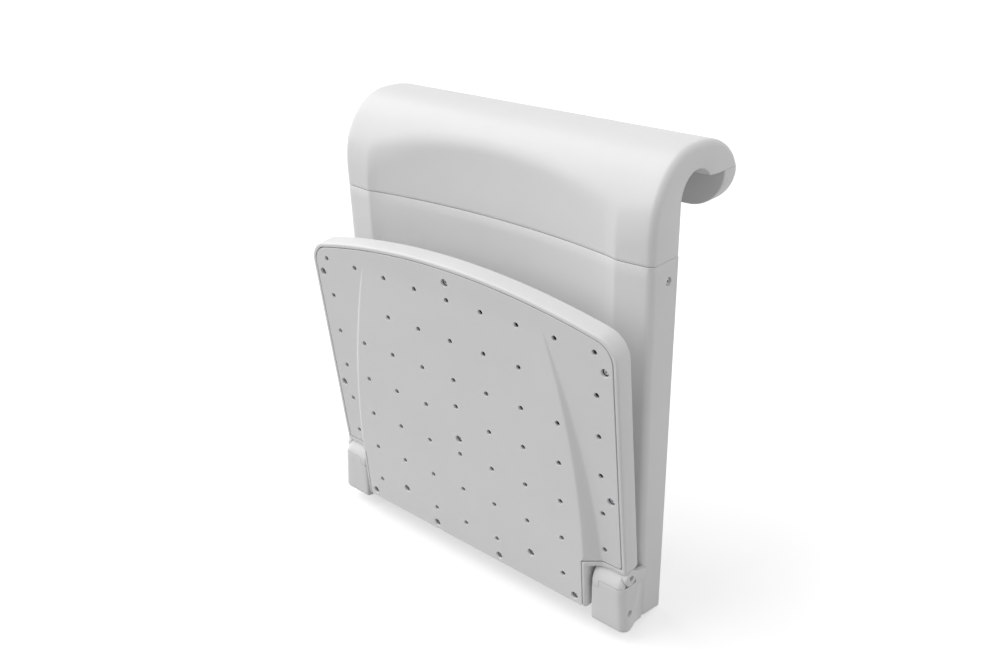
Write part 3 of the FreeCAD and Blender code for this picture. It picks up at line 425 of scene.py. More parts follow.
def rod(name, axis, start, end, radii, slot="white_shell", sides=40):
    """Turned solid along X: radii given at shares of the way from start to end."""
    loops = []
    for share, radius in radii:
        x = start + (end - start) * share
        turns = [2 * math.pi * k / sides for k in range(sides)]
        loops.append([
            (x, axis[0] + radius * math.cos(turn), axis[1] + radius * math.sin(turn))
            for turn in turns
        ])
    return stack(name, loops, slot)


def even(radius):
    return ((0.0, radius), (1.0, radius))


def evaluated_mesh(piece):
    return bpy.data.meshes.new_from_object(
        piece.evaluated_get(bpy.context.evaluated_depsgraph_get()))


def discard(piece):
    mesh = piece.data
    bpy.data.objects.remove(piece)
    bpy.data.meshes.remove(mesh)


def cut(piece, tool, operation="DIFFERENCE"):
    """Boolean with a tool that is used up."""
    step = piece.modifiers.new("cut", "BOOLEAN")
    step.operation = operation
    step.object = tool
    step.solver = "EXACT"
    shaped = evaluated_mesh(piece)
    piece.modifiers.clear()
    old = piece.data
    finish = old.materials[0]
    piece.data = shaped
    bpy.data.meshes.remove(old)
    discard(tool)
    shaped.name = piece.name
    shaped.materials.clear()
    shaped.materials.append(finish)


def clean(piece):
    """Takes out slivers and doubled faces that cutting leaves; smooth but for real edges."""
    work = bmesh.new()
    work.from_mesh(piece.data)
    bmesh.ops.remove_doubles(work, verts=work.verts, dist=5e-6)
    bmesh.ops.dissolve_degenerate(work, edges=work.edges, dist=2e-6)
    bmesh.ops.triangulate(work, faces=[face for face in work.faces if len(face.verts) > 4])
    work.verts.index_update()
    first = {}
    twice = set()
    for face in work.faces:
        corners = frozenset(corner.index for corner in face.verts)
        if corners in first:
            twice.update((face, first[corners]))
        first[corners] = face
    bmesh.ops.delete(work, geom=list(twice), context="FACES")
    bmesh.ops.holes_fill(work, edges=[edge for edge in work.edges if edge.is_boundary], sides=12)
    work.to_mesh(piece.data)
    work.free()
    piece.data.shade_smooth()
    piece.data.set_sharp_from_angle(angle=SHARP)


def settle(piece, body, slot, *nodes):
    clean(piece)
    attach(piece, body)
    if nodes:
        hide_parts(*nodes)


def section_depth(x, z):
    """How far the panel's front lies behind its ridge at a place across."""
    across = abs(x)
    if across >= RIDGE:
        return MARGIN_FALL * (across - RIDGE) / (HALF - RIDGE)
    foot = RIDGE - STEP
    sag = RECESS - STEP_FALL
    radius = (foot * foot + sag * sag) / (2.0 * sag)
    bowl = RECESS - (radius - math.sqrt(radius * radius - min(across, foot) ** 2))
    slope = STEP_FALL * (RIDGE - across) / STEP
    hollow = soft_min(bowl, slope, SLOPE_BLEND) if across > foot - 8.0 else bowl
    filled = smooth_step(BASE_TOP + 14.0, BASE_TOP - 22.0, z)
    return hollow + (min(hollow, RECESS_LOW) - hollow) * filled


def ridge_depth(x, z):
    """The same with the ridge itself rounded."""
    across = abs(x)
    if abs(across - RIDGE) > RIDGE_REACH:
        return section_depth(x, z)
    total = 0.0
    for k in range(-3, 4):
        total += section_depth(across + k * RIDGE_STEP, z)
    return total / 7.0


def front_at(z):
    return FRONT + LEAN * max(SWELL_Z - z, 0.0)


def across_places():
    """Places across the panel, close together at the ends and at the ridge."""
    places = [HALF - END_ROUND * (1.0 - math.cos(k * math.pi / 16.0)) for k in range(9)]
    inner = HALF - END_ROUND
    places += [inner - (inner - RIDGE - 7.0) * k / 5.0 for k in range(1, 6)]
    places += [RIDGE + 7.0 - 22.0 * k / 18.0 for k in range(1, 19)]
    start = RIDGE - 15.0
    places += [start * (1.0 - k / 18.0) for k in range(1, 18)]
    return places + [0.0] + [-place for place in reversed(places)]


def panel_section(z, inset, wall):
    """Plan of the panel at a level, from rear edge to rear edge."""
    limit = HALF - inset - wall
    path = [(limit, REAR), (limit, REAR - 10.0)]
    for x in across_places():
        away = round_off(END_ROUND, HALF - abs(x))
        narrowed = max(-limit, min(limit, x * limit / HALF))
        path.append((narrowed, front_at(z) + ridge_depth(x, z) + away + inset + wall))
    return path + [(-limit, REAR - 10.0), (-limit, REAR)]


def panel_shell():
    """Front shell of the panel, open at the rear, with a floor."""
    rows = [(PARTING - 0.3, 0.6), (PARTING - 0.6, 0.2), (PARTING - 1.0, 0.0)]
    rows += [(PARTING - 12.0 * k, 0.0) for k in range(1, 20)]
    rows += [(BASE_TOP + 20.0 - 3.0 * k, 0.0) for k in range(0, 17)]
    rows += [(-370.0, 0.0), (-400.0, 0.0), (-425.0, 0.0)]
    for rise in (FOOT_ROUND, 1.7, 1.0, 0.5, 0.2, 0.0):
        rows.append((FOOT + rise, round_off(FOOT_ROUND, rise)))

    def sloped(path, z):
        share = smooth_step(FOOT_BAND[0], FOOT_BAND[1], z)
        return [(x, y, z + FOOT_SLOPE * (REAR - y) * share) for x, y in path]

    outer = [sloped(panel_section(z, inset, 0.0), z) for z, inset in rows]
    inner = [sloped(panel_section(z, 0.0, SHELL_WALL), max(z, FOOT + 3.0)) for z, inset in rows]
    points, faces = two_sheets(outer, inner)
    count = len(outer[0])
    shift = count * len(rows)
    faces += end_strip(0, count, shift)
    low = shift - count
    faces.append(tuple(range(low, shift)))
    faces.append(tuple(range(shift + low, shift + shift)))
    faces.append((low, shift + low, shift + shift - 1, shift - 1))
    return new_piece("panel_shell", points, faces)


def window_cutter():
    """Box along Y with rounded corners in front view."""
    low, high = WINDOW
    radius = WINDOW_CORNER
    outline = []
    for cx, cz, start in (
        (high[0] - radius, high[2] - radius, 0.0),
        (low[0] + radius, high[2] - radius, 90.0),
        (low[0] + radius, low[2] + radius, 180.0),
        (high[0] - radius, low[2] + radius, 270.0),
    ):
        outline += arc_points((cx, cz), radius, start, start + 90.0, 6)
    return stack("window_cutter", [[(x, y, z) for x, z in outline] for y in (low[1], high[1])])


def hook_outside():
    """Outer line of the hook: place, direction outward and inset at the joint."""
    nose_y = FRONT + NOSE_SWELL - (NOSE_SWELL - NOSE_ROUND) * math.cos(NOSE_TURN)
    nose_z = HOOK_TOP - NOSE_ROUND
    low = PARTING + 0.3
    levels = [(low, 0.5), (low + 0.25, 0.15), (low + 0.6, 0.0)]
    levels += [(low + 0.6 + (SWELL_Z - low - 0.6) * k / 6.0, 0.0) for k in range(1, 6)]
    outside = [(front_at(z), z, -1.0, 0.0, inset) for z, inset in levels]
    turns = [NOSE_TURN * k / 18.0 for k in range(19)]
    arcs = [(FRONT + NOSE_SWELL, SWELL_Z, NOSE_SWELL, turn) for turn in turns]
    turns = [NOSE_TURN + (math.pi / 2 - NOSE_TURN) * k / 28.0 for k in range(1, 29)]
    arcs += [(nose_y, nose_z, NOSE_ROUND, turn) for turn in turns]
    for y, z, radius, turn in arcs:
        outside.append((y - radius * math.cos(turn), z + radius * math.sin(turn),
                        -math.cos(turn), math.sin(turn), 0.0))
    wide, tall = WALL - BACK_Y, HOOK_TOP - BACK_Z
    end_turn = math.asin((LIP_TOP - BACK_Z) / tall)
    for k in range(33):
        turn = math.pi / 2 + (end_turn - math.pi / 2) * k / 32.0
        ny, nz = math.cos(turn) / wide, math.sin(turn) / tall
        size = math.hypot(ny, nz)
        outside.append((BACK_Y + wide * math.cos(turn), BACK_Z + tall * math.sin(turn),
                        ny / size, nz / size, 0.0))
    return outside


def hook_loop(x):
    """Side view of the hook at a place across, as a closed loop."""
    inward = HALF - abs(x)
    away = round_off(END_ROUND, inward)
    mouth = round_off(MOUTH_ROUND, inward)
    depth = ridge_depth(x, 0.0)
    joint = LIP_TOP + LIP_GAP
    loop = []
    for y, z, ny, nz, inset in hook_outside():
        py, pz = y - ny * (away + inset), z - nz * away
        if y > 40.0:
            pz = max(pz, joint)
        if y < 0.0:
            reach = SHOULDER * smooth_step(SWELL_Z - 12.0, SWELL_Z + 30.0, z)
            py = soft_max(py, front_at(z) + depth + away + inset, reach)
        loop.append((py, pz))
    ceiling = joint - mouth
    ring = ARCH + mouth
    turn_in = math.asin(min(joint / ring, 1.0))
    loop += [(y, ceiling) for y in (WALL - 1.2 - away, 58.0, 46.0, 34.0)]
    for k in range(25):
        turn = turn_in + (math.pi - turn_in) * k / 24.0
        loop.append((ring * math.cos(turn), ring * math.sin(turn)))
    loop += [(-ring, z) for z in (-18.0, -36.0, PARTING + 0.3)]
    return [(x, y, z) for y, z in loop]


def hook_top():
    """Bullnose top of the panel over the rail."""
    close = [HALF - 0.15, HALF - 0.5, HALF - 1.2]
    places = sorted(set(across_places() + close + [-place for place in close]))
    return stack("hook_top", [hook_loop(x) for x in places])


def hook_lip():
    """Lip behind the rail with round lower corners, its rear edge rounded like the hook."""
    top = LIP_TOP - LIP_GAP

    def corner(centre, start, steps):
        turns = [start + (math.pi / 2) * k / 16.0 for k in steps]
        return [(centre + LIP_CORNER * math.cos(turn),
                 LIP_LOW + LIP_CORNER + LIP_CORNER * math.sin(turn),
                 math.cos(turn), math.sin(turn)) for turn in turns]

    outline = [(HALF - k * 2.0 * HALF / 8.0, top, 0.0, 1.0) for k in range(9)]
    outline += corner(-HALF + LIP_CORNER, math.pi, range(1, 17))
    for k in range(1, 16):
        x = -HALF + LIP_CORNER + (2 * HALF - 2 * LIP_CORNER) * k / 16.0
        outline.append((x, LIP_LOW, 0.0, -1.0))
    outline += corner(HALF - LIP_CORNER, 1.5 * math.pi, range(0, 16))
    rows = [(46.0, 1.2), (46.2, 0.6), (46.6, 0.2), (47.2, 0.0), (LIP_STRAIGHT, 0.0)]
    for k in range(9):
        turn = k * math.pi / 16
        rows.append((WALL - END_ROUND + END_ROUND * math.sin(turn),
                     END_ROUND * (1 - math.cos(turn))))
    loops = []
    for y, inset in rows:
        share = smooth_step(LIP_STRAIGHT, WALL, y)
        loop = []
        for x, z, nx, nz in outline:
            give = inset if nz < 0.9 else min(inset, 0.25)
            lift = max(z - BACK_Z, 0.0) / (HOOK_TOP - BACK_Z)
            swell = (WALL - BACK_Y) * (1.0 - math.sqrt(max(1.0 - lift ** 2, 0.0)))
            hold = max(-HALF + inset, min(HALF - inset, x - nx * give))
            loop.append((hold, y - swell * share, z - nz * give))
        loops.append(loop)
    return stack("hook_lip_skin", loops)


def seat_point(x, n, s):
    """From the seat's own axes to the shared frame."""
    y = HINGE[0] + n * math.cos(TILT) - s * math.sin(TILT)
    z = HINGE[1] + n * math.sin(TILT) + s * math.cos(TILT)
    return (x, y, z)


def swell_height(s):
    return SWELL_RISE * max(SWELL_END - s, 0.0)


def crease_half(s):
    return CREASE_HALF - s * s / CREASE_BEND


def underside(x, s):
    """Level of the seat's underside, raised in the middle towards the tail."""
    tall = swell_height(s)
    if tall <= 0.0:
        return UNDER
    foot = crease_half(s) + CREASE_SLOPE * tall
    reach = min(1.1, tall * 0.5)
    rise = soft_max((foot - abs(x)) / CREASE_SLOPE, 0.0, reach)
    return UNDER - soft_min(rise, tall, reach)


def arc_points(centre, radius, start, end, count):
    turns = [math.radians(start + (end - start) * k / count) for k in range(count + 1)]
    return [(centre[0] + radius * math.cos(turn), centre[1] + radius * math.sin(turn))
            for turn in turns]


def seat_outline(inset, tail_inset):
    """Outline of the seat in plan; every inset gives the same number of points."""
    side = SIDE - inset
    reach = REACH - inset
    radius = FRONT_ARC - inset
    corner = SEAT_CORNER - inset
    tail = TAIL_HALF - inset
    low = WING_LOW + inset * WING_SHARE
    end = TAIL + tail_inset
    turn_x = side - corner
    inner = radius - corner
    turn_s = reach - radius + math.sqrt(inner * inner - turn_x * turn_x)
    meet = math.degrees(math.atan2(turn_s - reach + radius, turn_x))
    notch = 1.4 + inset * 0.2
    wing = low + WING_ROUND
    half = arc_points((tail - TAIL_ROUND, end + TAIL_ROUND), TAIL_ROUND, -90.0, 0.0, 3)
    half += [(tail, end + (low - end) * k / 6.0) for k in (1.5, 3.0, 4.5)]
    half += reversed(arc_points((tail + notch, low - notch), notch, 90.0, 180.0, 4))
    half += [(tail + notch + (side - tail - notch - WING_ROUND) * k / 4.0, low) for k in (1, 2, 3)]
    half += arc_points((side - WING_ROUND, wing), WING_ROUND, -90.0, 0.0, 4)
    half += [(side, wing + (turn_s - low - WING_ROUND) * k / 20.0) for k in range(1, 20)]
    half += arc_points((turn_x, turn_s), corner, 0.0, meet, 14)
    crown = arc_points((0.0, reach - radius), radius, meet, 90.0, 24)
    half += crown[1:-1]
    left = [(-x, s) for x, s in reversed(half)]
    return half + [crown[-1]] + left + [(40.0 * k, end) for k in range(-3, 4)]


def banded(name, bands):
    """Solid from bands: inset, tail inset, level or None for the underside, lift from that."""
    loops = []
    for inset, tail_inset, level, lift in bands:
        loop = []
        for x, s in seat_outline(inset, tail_inset):
            n = underside(x, s) + lift if level is None else level
            loop.append(seat_point(x, n, s))
        loops.append(loop)
    return stack(name, loops)


def underside_slab(name, thickness):
    """Slab that follows the underside, wider than the seat; None reaches over the sitting face."""
    rows = [-62.0 + 7.0 * k for k in range(53)]
    lower = []
    upper = []
    for s in rows:
        crest = crease_half(s)
        foot = crest + CREASE_SLOPE * max(swell_height(s), 0.35)
        half = [crest * 0.94 * k / 14.0 for k in range(15)]
        half += [crest - 7.0 + 1.0 * k for k in range(1, 7)]
        half += [crest + (foot - crest) * k / 10.0 for k in range(11)]
        half += [foot + 1.0 * k for k in range(1, 6)]
        half += [foot + 5.0 + (SLAB_HALF - foot - 5.0) * k / 4.0 for k in range(1, 5)]
        line = [-x for x in reversed(half[1:])] + half
        levels = [underside(x, s) for x in line]
        lower.append([seat_point(x, n, s) for x, n in zip(line, levels)])
        if thickness is None:
            upper.append([seat_point(x, SLAB_TOP, s) for x in line])
        else:
            upper.append([seat_point(x, n + thickness, s) for x, n in zip(line, levels)])
    points, faces = two_sheets(lower, upper)
    count = len(lower[0])
    for row in (0, len(rows) - 1):
        faces += end_strip(row, count, count * len(rows))
    return new_piece(name, points, faces)


def seat_rim():
    """Sitting face and rim of the seat."""
    bands = []
    for k in range(7):
        inset = SITTING_ROUND - SITTING_ROUND * math.sin(k * math.pi / 12)
        level = SITTING - SITTING_ROUND + SITTING_ROUND * math.cos(k * math.pi / 12)
        bands.append((inset, inset, level, 0.0))
    bands += [(0.0, 0.0, 3.0, 0.0), (0.0, 0.0, None, UNDER_ROUND)]
    for k in range(1, 5):
        inset = UNDER_ROUND - UNDER_ROUND * math.cos(k * math.pi / 10)
        bands.append((inset, inset, None, UNDER_ROUND - UNDER_ROUND * math.sin(k * math.pi / 10)))
    bands += [(2.7, 2.7, None, -0.3), (2.7, 2.7, -70.0, 0.0)]
    rim = banded("seat_rim", bands)
    cut(rim, underside_slab("rim_slab", None), "INTERSECT")
    cut(rim, banded("cover_bed", [
        (RIM, -30.0, 9.0, 0.0),
        (RIM, -30.0, None, 0.35),
        (RIM - EDGE_BREAK, -30.0, None, -1.0),
        (RIM - EDGE_BREAK, -30.0, -80.0, 0.0),
    ]))
    for side in BOTH:
        cut(rim, rod("relief_cutter", HINGE, side * (TAIL_HALF + 1.0), side * 230.0,
                     even(BARREL_RELIEF), sides=48))
    return rim


def seat_cover():
    """Underside cover before it is perforated."""
    inset = RIM + LINE
    cover = underside_slab("seat_cover", COVER_WALL)
    cut(cover, banded("cover_edge", [
        (inset, 0.3, 12.0, 0.0),
        (inset, 0.3, None, 0.35),
        (inset + EDGE_BREAK, 1.65, None, -1.0),
        (inset + EDGE_BREAK, 1.65, -80.0, 0.0),
    ]), "INTERSECT")
    return cover


def drain_places():
    """Square grid of drain holes, without the places that screws and corners take."""
    spots = []
    for row in range(-3, 4):
        for column in range(-4, 5):
            if (abs(column), row) in ((4, -3), (3, 2), (2, -3)):
                continue
            shift = MIDDLE_HOLE_SHIFT if (row, column) == (0, 0) else 0.0
            spots.append((HOLE_PITCH * column, HOLE_ROW + HOLE_PITCH * row + shift))
    return spots


def tail_wall():
    """Strip that shuts the seat's tail above the cover."""
    across = [-159.0 + 318.0 * k / 40.0 for k in range(41)]
    loops = []
    for s in (-46.3, -44.0):
        low = [seat_point(x, underside(x, s) + 2.9, s) for x in across]
        loops.append(low + [seat_point(x, 10.5, s) for x in reversed(across)])
    return stack("tail_wall", loops)


def strip(name, half, low, high, slot):
    """Plain strip across the panel between two corners in side view."""
    section = ((low[0], low[1]), (high[0], low[1]), (high[0], high[1]), (low[0], high[1]))
    return stack(name, [[(x, y, z) for y, z in section] for x in (-half, half)], slot)


def tree_with(name, sizes):
    """Geometry node tree with a geometry input, named sizes and a finish."""
    tree = bpy.data.node_groups.new(name, "GeometryNodeTree")
    tree.interface.new_socket(name="Geometry", in_out="INPUT", socket_type="NodeSocketGeometry")
    for label, start in sizes:
        socket = tree.interface.new_socket(
            name=label, in_out="INPUT", socket_type="NodeSocketFloat")
        socket.default_value = start
    tree.interface.new_socket(name="Finish", in_out="INPUT", socket_type="NodeSocketMaterial")
    tree.interface.new_socket(name="Geometry", in_out="OUTPUT", socket_type="NodeSocketGeometry")
    return tree


def turned(tree, bottom, top, height, sides, level=None):
    """Turned solid that stands on a level."""
    cone = add_node(tree, "GeometryNodeMeshCone", {"Vertices": sides})
    feed(tree, cone.inputs["Radius Bottom"], bottom)
    feed(tree, cone.inputs["Radius Top"], top)
    feed(tree, cone.inputs["Depth"], height)
    if level is None:
        return cone.outputs["Mesh"]
    place = add_node(tree, "ShaderNodeCombineXYZ")
    shift = add_node(tree, "GeometryNodeTransform")
    link(
        tree,
        (level, place.inputs["Z"]),
        (cone.outputs["Mesh"], shift.inputs["Geometry"]),
        (place.outputs["Vector"], shift.inputs["Translation"]),
    )
    return shift.outputs["Geometry"]


def united(tree, *meshes):
    node = add_node(tree, "GeometryNodeMeshBoolean", operation="UNION", solver="EXACT")
    for mesh in meshes:
        tree.links.new(mesh, node.inputs["Mesh 2"])
    return node.outputs["Mesh"]


def without(tree, mesh, tool):
    node = add_node(tree, "GeometryNodeMeshBoolean", operation="DIFFERENCE", solver="EXACT")
    link(tree, (mesh, node.inputs["Mesh 1"]), (tool, node.inputs["Mesh 2"]))
    return node.outputs["Mesh"]


def on_points(tree, given, shape):
    """The shape on every point, turned to the point's aim, as real geometry."""
    aim = add_node(tree, "GeometryNodeInputNamedAttribute", data_type="FLOAT_VECTOR")
    aim.inputs["Name"].default_value = "aim"
    turn = add_node(tree, "FunctionNodeAlignRotationToVector", axis="Z")
    spread = add_node(tree, "GeometryNodeInstanceOnPoints")
    real = add_node(tree, "GeometryNodeRealizeInstances")
    link(
        tree,
        (aim.outputs["Attribute"], turn.inputs["Vector"]),
        (given["Geometry"], spread.inputs["Points"]),
        (shape, spread.inputs["Instance"]),
        (turn.outputs["Rotation"], spread.inputs["Rotation"]),
        (spread.outputs["Instances"], real.inputs["Geometry"]),
    )
    return real.outputs["Geometry"]


def paint_and_end(tree, given, geometry):
    paint = add_node(tree, "GeometryNodeSetMaterial")
    result = add_node(tree, "NodeGroupOutput")
    link(
        tree,
        (geometry, paint.inputs["Geometry"]),
        (given["Finish"], paint.inputs["Material"]),
        (paint.outputs["Geometry"], result.inputs["Geometry"]),
    )


def screw_tree():
    """Pan-headed screws with a hexagon socket, one on each point."""
    tree = tree_with("socket_screws", (
        ("Head Radius", 0.0036), ("Head Height", 0.002), ("Socket Radius", 0.0016),
        ("Shank Radius", 0.002), ("Shank Length", 0.01),
    ))
    given = add_node(tree, "NodeGroupInput").outputs
    radius, height = given["Head Radius"], given["Head Height"]
    socket, shank, length = given["Socket Radius"], given["Shank Radius"], given["Shank Length"]
    wall = worked_out(tree, "MULTIPLY", height, 0.55)
    dome = worked_out(tree, "MULTIPLY", height, 0.45)
    crown = worked_out(tree, "MULTIPLY", radius, 0.72)
    disc = turned(tree, radius, radius, wall, 28)
    cap = turned(tree, radius, crown, dome, 28, wall)
    drive = turned(tree, socket, socket, height, 6, worked_out(tree, "MULTIPLY", height, 0.4))
    head = without(tree, united(tree, disc, cap), drive)
    stem = turned(tree, shank, shank, length, 16, worked_out(tree, "MULTIPLY", length, -1.0))
    whole = add_node(tree, "GeometryNodeJoinGeometry")
    link(tree, (head, whole.inputs["Geometry"]), (stem, whole.inputs["Geometry"]))
    paint_and_end(tree, given, on_points(tree, given, whole.outputs["Geometry"]))
    return tree


def perforation_tree():
    """Round cutters with a flared edge on the points, taken out of a panel."""
    tree = tree_with("perforations", (
        ("Hole Radius", 0.00275), ("Edge Radius", 0.003), ("Edge Depth", 0.0003), ("Depth", 0.012),
    ))
    tree.interface.new_socket(name="Panel", in_out="INPUT", socket_type="NodeSocketObject")
    given = add_node(tree, "NodeGroupInput").outputs
    hole, edge_depth, depth = given["Hole Radius"], given["Edge Depth"], given["Depth"]
    flare_height = 0.004
    bore = turned(tree, hole, hole, depth, 28, worked_out(tree, "MULTIPLY", depth, -0.9))
    gain = worked_out(tree, "SUBTRACT", given["Edge Radius"], hole)
    share = worked_out(tree, "DIVIDE", flare_height, edge_depth)
    wide = worked_out(tree, "MULTIPLY_ADD", gain, share, hole)
    sunk = worked_out(tree, "MULTIPLY", edge_depth, -1.0)
    flare = turned(tree, hole, wide, flare_height, 28, sunk)
    cutters = on_points(tree, given, united(tree, bore, flare))
    sheet = add_node(tree, "GeometryNodeObjectInfo")
    tree.links.new(given["Panel"], sheet.inputs["Object"])
    paint_and_end(tree, given, without(tree, sheet.outputs["Geometry"], cutters))
    return tree


SCREWS = screw_tree()
PERFORATIONS = perforation_tree()


def from_tree(name, tree, spots, values):
    """Plain piece that a tree makes on places, each with the direction it faces in."""
    mesh = bpy.data.meshes.new(name + "_places")
    mesh.from_pydata([tuple(value * MM for value in point) for point, aim in spots], [], [])
    facing = mesh.attributes.new("aim", "FLOAT_VECTOR", "POINT")
    for k, (point, aim) in enumerate(spots):
        facing.data[k].vector = aim
    holder = bpy.data.objects.new(name + "_places", mesh)
    bpy.context.collection.objects.link(holder)
    step = holder.modifiers.new(tree.name, "NODES")
    step.node_group = tree
    for item in tree.interface.items_tree:
        if item.item_type == "SOCKET" and item.in_out == "INPUT" and item.name in values:
            step[item.identifier] = values[item.name]
    made = evaluated_mesh(holder)
    made.name = name
    holder.modifiers.clear()
    discard(holder)
    piece = bpy.data.objects.new(name, made)
    bpy.context.collection.objects.link(piece)
    return piece


def screws(name, spots, sizes):
    return from_tree(name, SCREWS, spots, {"Finish": FINISH["bright_steel"], **sizes})


def perforated(name, sheet, spots, sizes):
    values = {"Finish": FINISH["white_shell"], "Panel": sheet, **sizes}
    piece = from_tree(name, PERFORATIONS, spots, values)
    discard(sheet)
    return piece


def ear_side(z):
    """Outer side of a hinge block, flared towards its foot."""
    share = min(max((-380.0 - z) / 42.0, 0.0), 1.0)
    return EAR_OUT + EAR_FLARE * share


def nose_front(z, radius):
    rise = max(z - NOSE_C[1], 0.0)
    return NOSE_C[0] - math.sqrt(radius * radius - rise * rise)


def block_section(z, inset):
    """Plan of a hinge block at a level: inner edge small, outer edge large."""
    front = nose_front(z, NOSE_R) + inset
    inner, outer = BLOCK_IN + inset, ear_side(z) - inset
    small, large = max(BLOCK_SMALL - inset, 0.4), max(BLOCK_LARGE - inset * 0.6, 1.0)
    path = [(outer, BLOCK_REAR + (front + large - BLOCK_REAR) * k / 12.0) for k in range(12)]
    for k in range(11):
        turn = math.radians(9.0 * k)
        path.append((outer - large + large * math.cos(turn),
                     front + large - large * math.sin(turn)))
    width = inner + small - outer + large
    path += [(outer - large + width * k / 4.0, front) for k in range(1, 4)]
    for k in range(7):
        turn = math.radians(15.0 * k)
        path.append((inner + small - small * math.sin(turn),
                     front + small - small * math.cos(turn)))
    path += [(inner, front + small + (BLOCK_REAR - front - small) * k / 5.0) for k in range(1, 6)]
    ahead = -76.0 - 18.0 * smooth_step(-384.0, -415.0, z)
    flush = []
    for x, y in path:
        if x > HALF:
            x = min(x, HALF + 0.3 + (x - HALF) * smooth_step(-59.0, ahead, y))
        flush.append((x, y))
    return flush


def hinge_ear(side):
    """Rounded ear that holds the pin, with the web that ties it to the block."""
    profile = list(EAR_WEB) + arc_points(HINGE, EAR_ROUND, 60.0, 330.0, 32)
    loops = []
    for x, shrink in EAR_STEPS:
        loop = []
        for y, z in profile:
            dy, dz = y - EAR_MIDDLE[0], z - EAR_MIDDLE[1]
            keep = 1.0 - shrink / math.hypot(dy, dz)
            loop.append((side * x, EAR_MIDDLE[0] + dy * keep, EAR_MIDDLE[1] + dz * keep))
        loops.append(loop)
    return stack("ear", loops, "white_cast")


def hinge_block(side, word):
    """Block at the foot of the panel with the ear that holds the pin."""
    levels = [(DECK - 1.2 * k, 0.0) for k in range(5)]
    levels += [(-381.0 - 5.0 * k, 0.0) for k in range(0, 8)]
    for k in range(7):
        turn = k * math.pi / 12
        levels.append((BLOCK_LOW + BLOCK_ROUND - BLOCK_ROUND * math.sin(turn),
                       BLOCK_ROUND - BLOCK_ROUND * math.cos(turn)))
    loops = []
    for z, inset in levels:
        lean = smooth_step(-385.0, BLOCK_LOW + 4.0, z)
        loops.append([(side * x, y, z - FOOT_SLOPE * (y - NOSE_C[0] + NOSE_R) * lean)
                      for x, y in block_section(z, inset)])
    block = stack("hinge_block_" + word, loops, "white_cast")
    room = [(0.0, TROUGH)]
    for k in range(9):
        turn = k * math.pi / 16
        share = (TROUGH_STRAIGHT + CAP_ROUND * math.sin(turn)) / TROUGH_LENGTH
        room.append((share, TROUGH - TROUGH_ROUND * (1.0 - math.cos(turn))))
    face = ear_side(HOUSING_SCREW[1])
    cut(block, rod("trough_cutter", HINGE, side * CUTTER_START, side * TROUGH_END, room, sides=72))
    cut(block, rod("skirt_cutter", HINGE, side * CUTTER_START, side * SKIRT_ROOM_END,
                   even(SKIRT_ROOM), sides=96))
    cut(block, hinge_ear(side), "UNION")
    cut(block, rod("pin_cutter", HINGE, side * 199.0, side * 207.0, PIN_BORE))
    start, end = side * (face - 12.0), side * (face + 1.0)
    cut(block, rod("sink_cutter", HOUSING_SCREW, start, end, HOUSING_SINK))
    return block


def hinge_cap(side, word):
    """Moving top of a hinge block, round the barrel and flush with the nose."""
    inner = []
    for k in range(7):
        turn = k * math.pi / 12
        inner.append((BLOCK_IN + 0.3 + BLOCK_SMALL * (1.0 - math.cos(turn)),
                      BLOCK_SMALL * (1.0 - math.sin(turn))))
    rows = inner + [(180.0, 0.0), (190.0, 0.0)]
    for k in range(8):
        turn = k * math.pi / 16
        rows.append((197.5 + CAP_ROUND * math.sin(turn), CAP_ROUND * (1.0 - math.cos(turn))))
    low = DECK + CAP_GAP
    levels = [low + (CAP_TOP - DECK - CAP_GAP) * k / 12.0 for k in range(13)]
    loops = []
    for x, inset in rows:
        loop = [(nose_front(z, NOSE_R - inset), z) for z in levels]
        y, z = loop[-1]
        loop += [(y + 0.45, z + 0.6), (y + 1.2, z + 0.95)]
        loop += arc_points(HINGE, BARREL, 128.0, -130.0, 18)
        loops.append([(side * x, y, z) for y, z in loop])
    cap = stack("hinge_cap_" + word, loops, "white_cast")
    levels = [SKIRT_LOW + 9.6 * k / 8.0 for k in range(9)]
    skirt = []
    for x, inset in inner + [(SKIRT_END, 0.0)]:
        front = [(nose_front(z, NOSE_R - inset), z) for z in levels]
        behind = [(y + 5.0 - inset * 0.5, z) for y, z in reversed(front)]
        skirt.append([(side * x, y, z) for y, z in front + behind])
    cut(cap, stack("skirt", skirt, "white_cast"), "UNION")
    cut(cap, rod("boss_cutter", HINGE, side * 199.8, side * 210.0, even(BOSS_ROOM), sides=64))
    cut(cap, rod("pin_cutter", HINGE, side * 184.0, side * 210.0, even(PIN_ROOM)))
    return cap


def seat_bar(side, word):
    """Bar inside the seat from the hinge barrel along the wing."""
    loops = [[seat_point(side * x, n, s) for x, n in BAR_SECTION] for s in (-1.0, 200.0)]
    return stack("seat_bar_" + word, loops, "frame_metal")


def dress_panel():
    shell = panel_shell()
    cut(shell, window_cutter())
    for side in BOTH:
        start, end = side * (HALF - 3.4), side * (HALF + 3.0)
        cut(shell, rod("sink_cutter", SIDE_SCREW, start, end, SIDE_SINK))
    settle(shell, "back", "white_shell", "back_shell")
    settle(hook_top(), "back", "white_shell", "hook_cover")
    settle(hook_lip(), "back", "white_shell", "hook_lip")


def dress_seat():
    outward = (0.0, -math.cos(TILT), -math.sin(TILT))

    def on_cover(places, lift):
        return [(seat_point(x, underside(x, s) + lift, s), outward) for x, s in places]

    settle(seat_rim(), "seat", "white_shell", "seat_top_shell")
    drained = perforated("seat_cover_drained", seat_cover(), on_cover(drain_places(), 0.0), {})
    cover = perforated("seat_cover_skin", drained, on_cover(COVER_SCREWS, 0.0), SCREW_SINKS)
    settle(cover, "seat", "white_shell", "seat_bottom_cover")
    heads = screws("seat_screws", on_cover(COVER_SCREWS, SCREW_DEPTH), {"Head Height": 0.0018})
    settle(heads, "seat", "bright_steel", "seat_cover_screws")


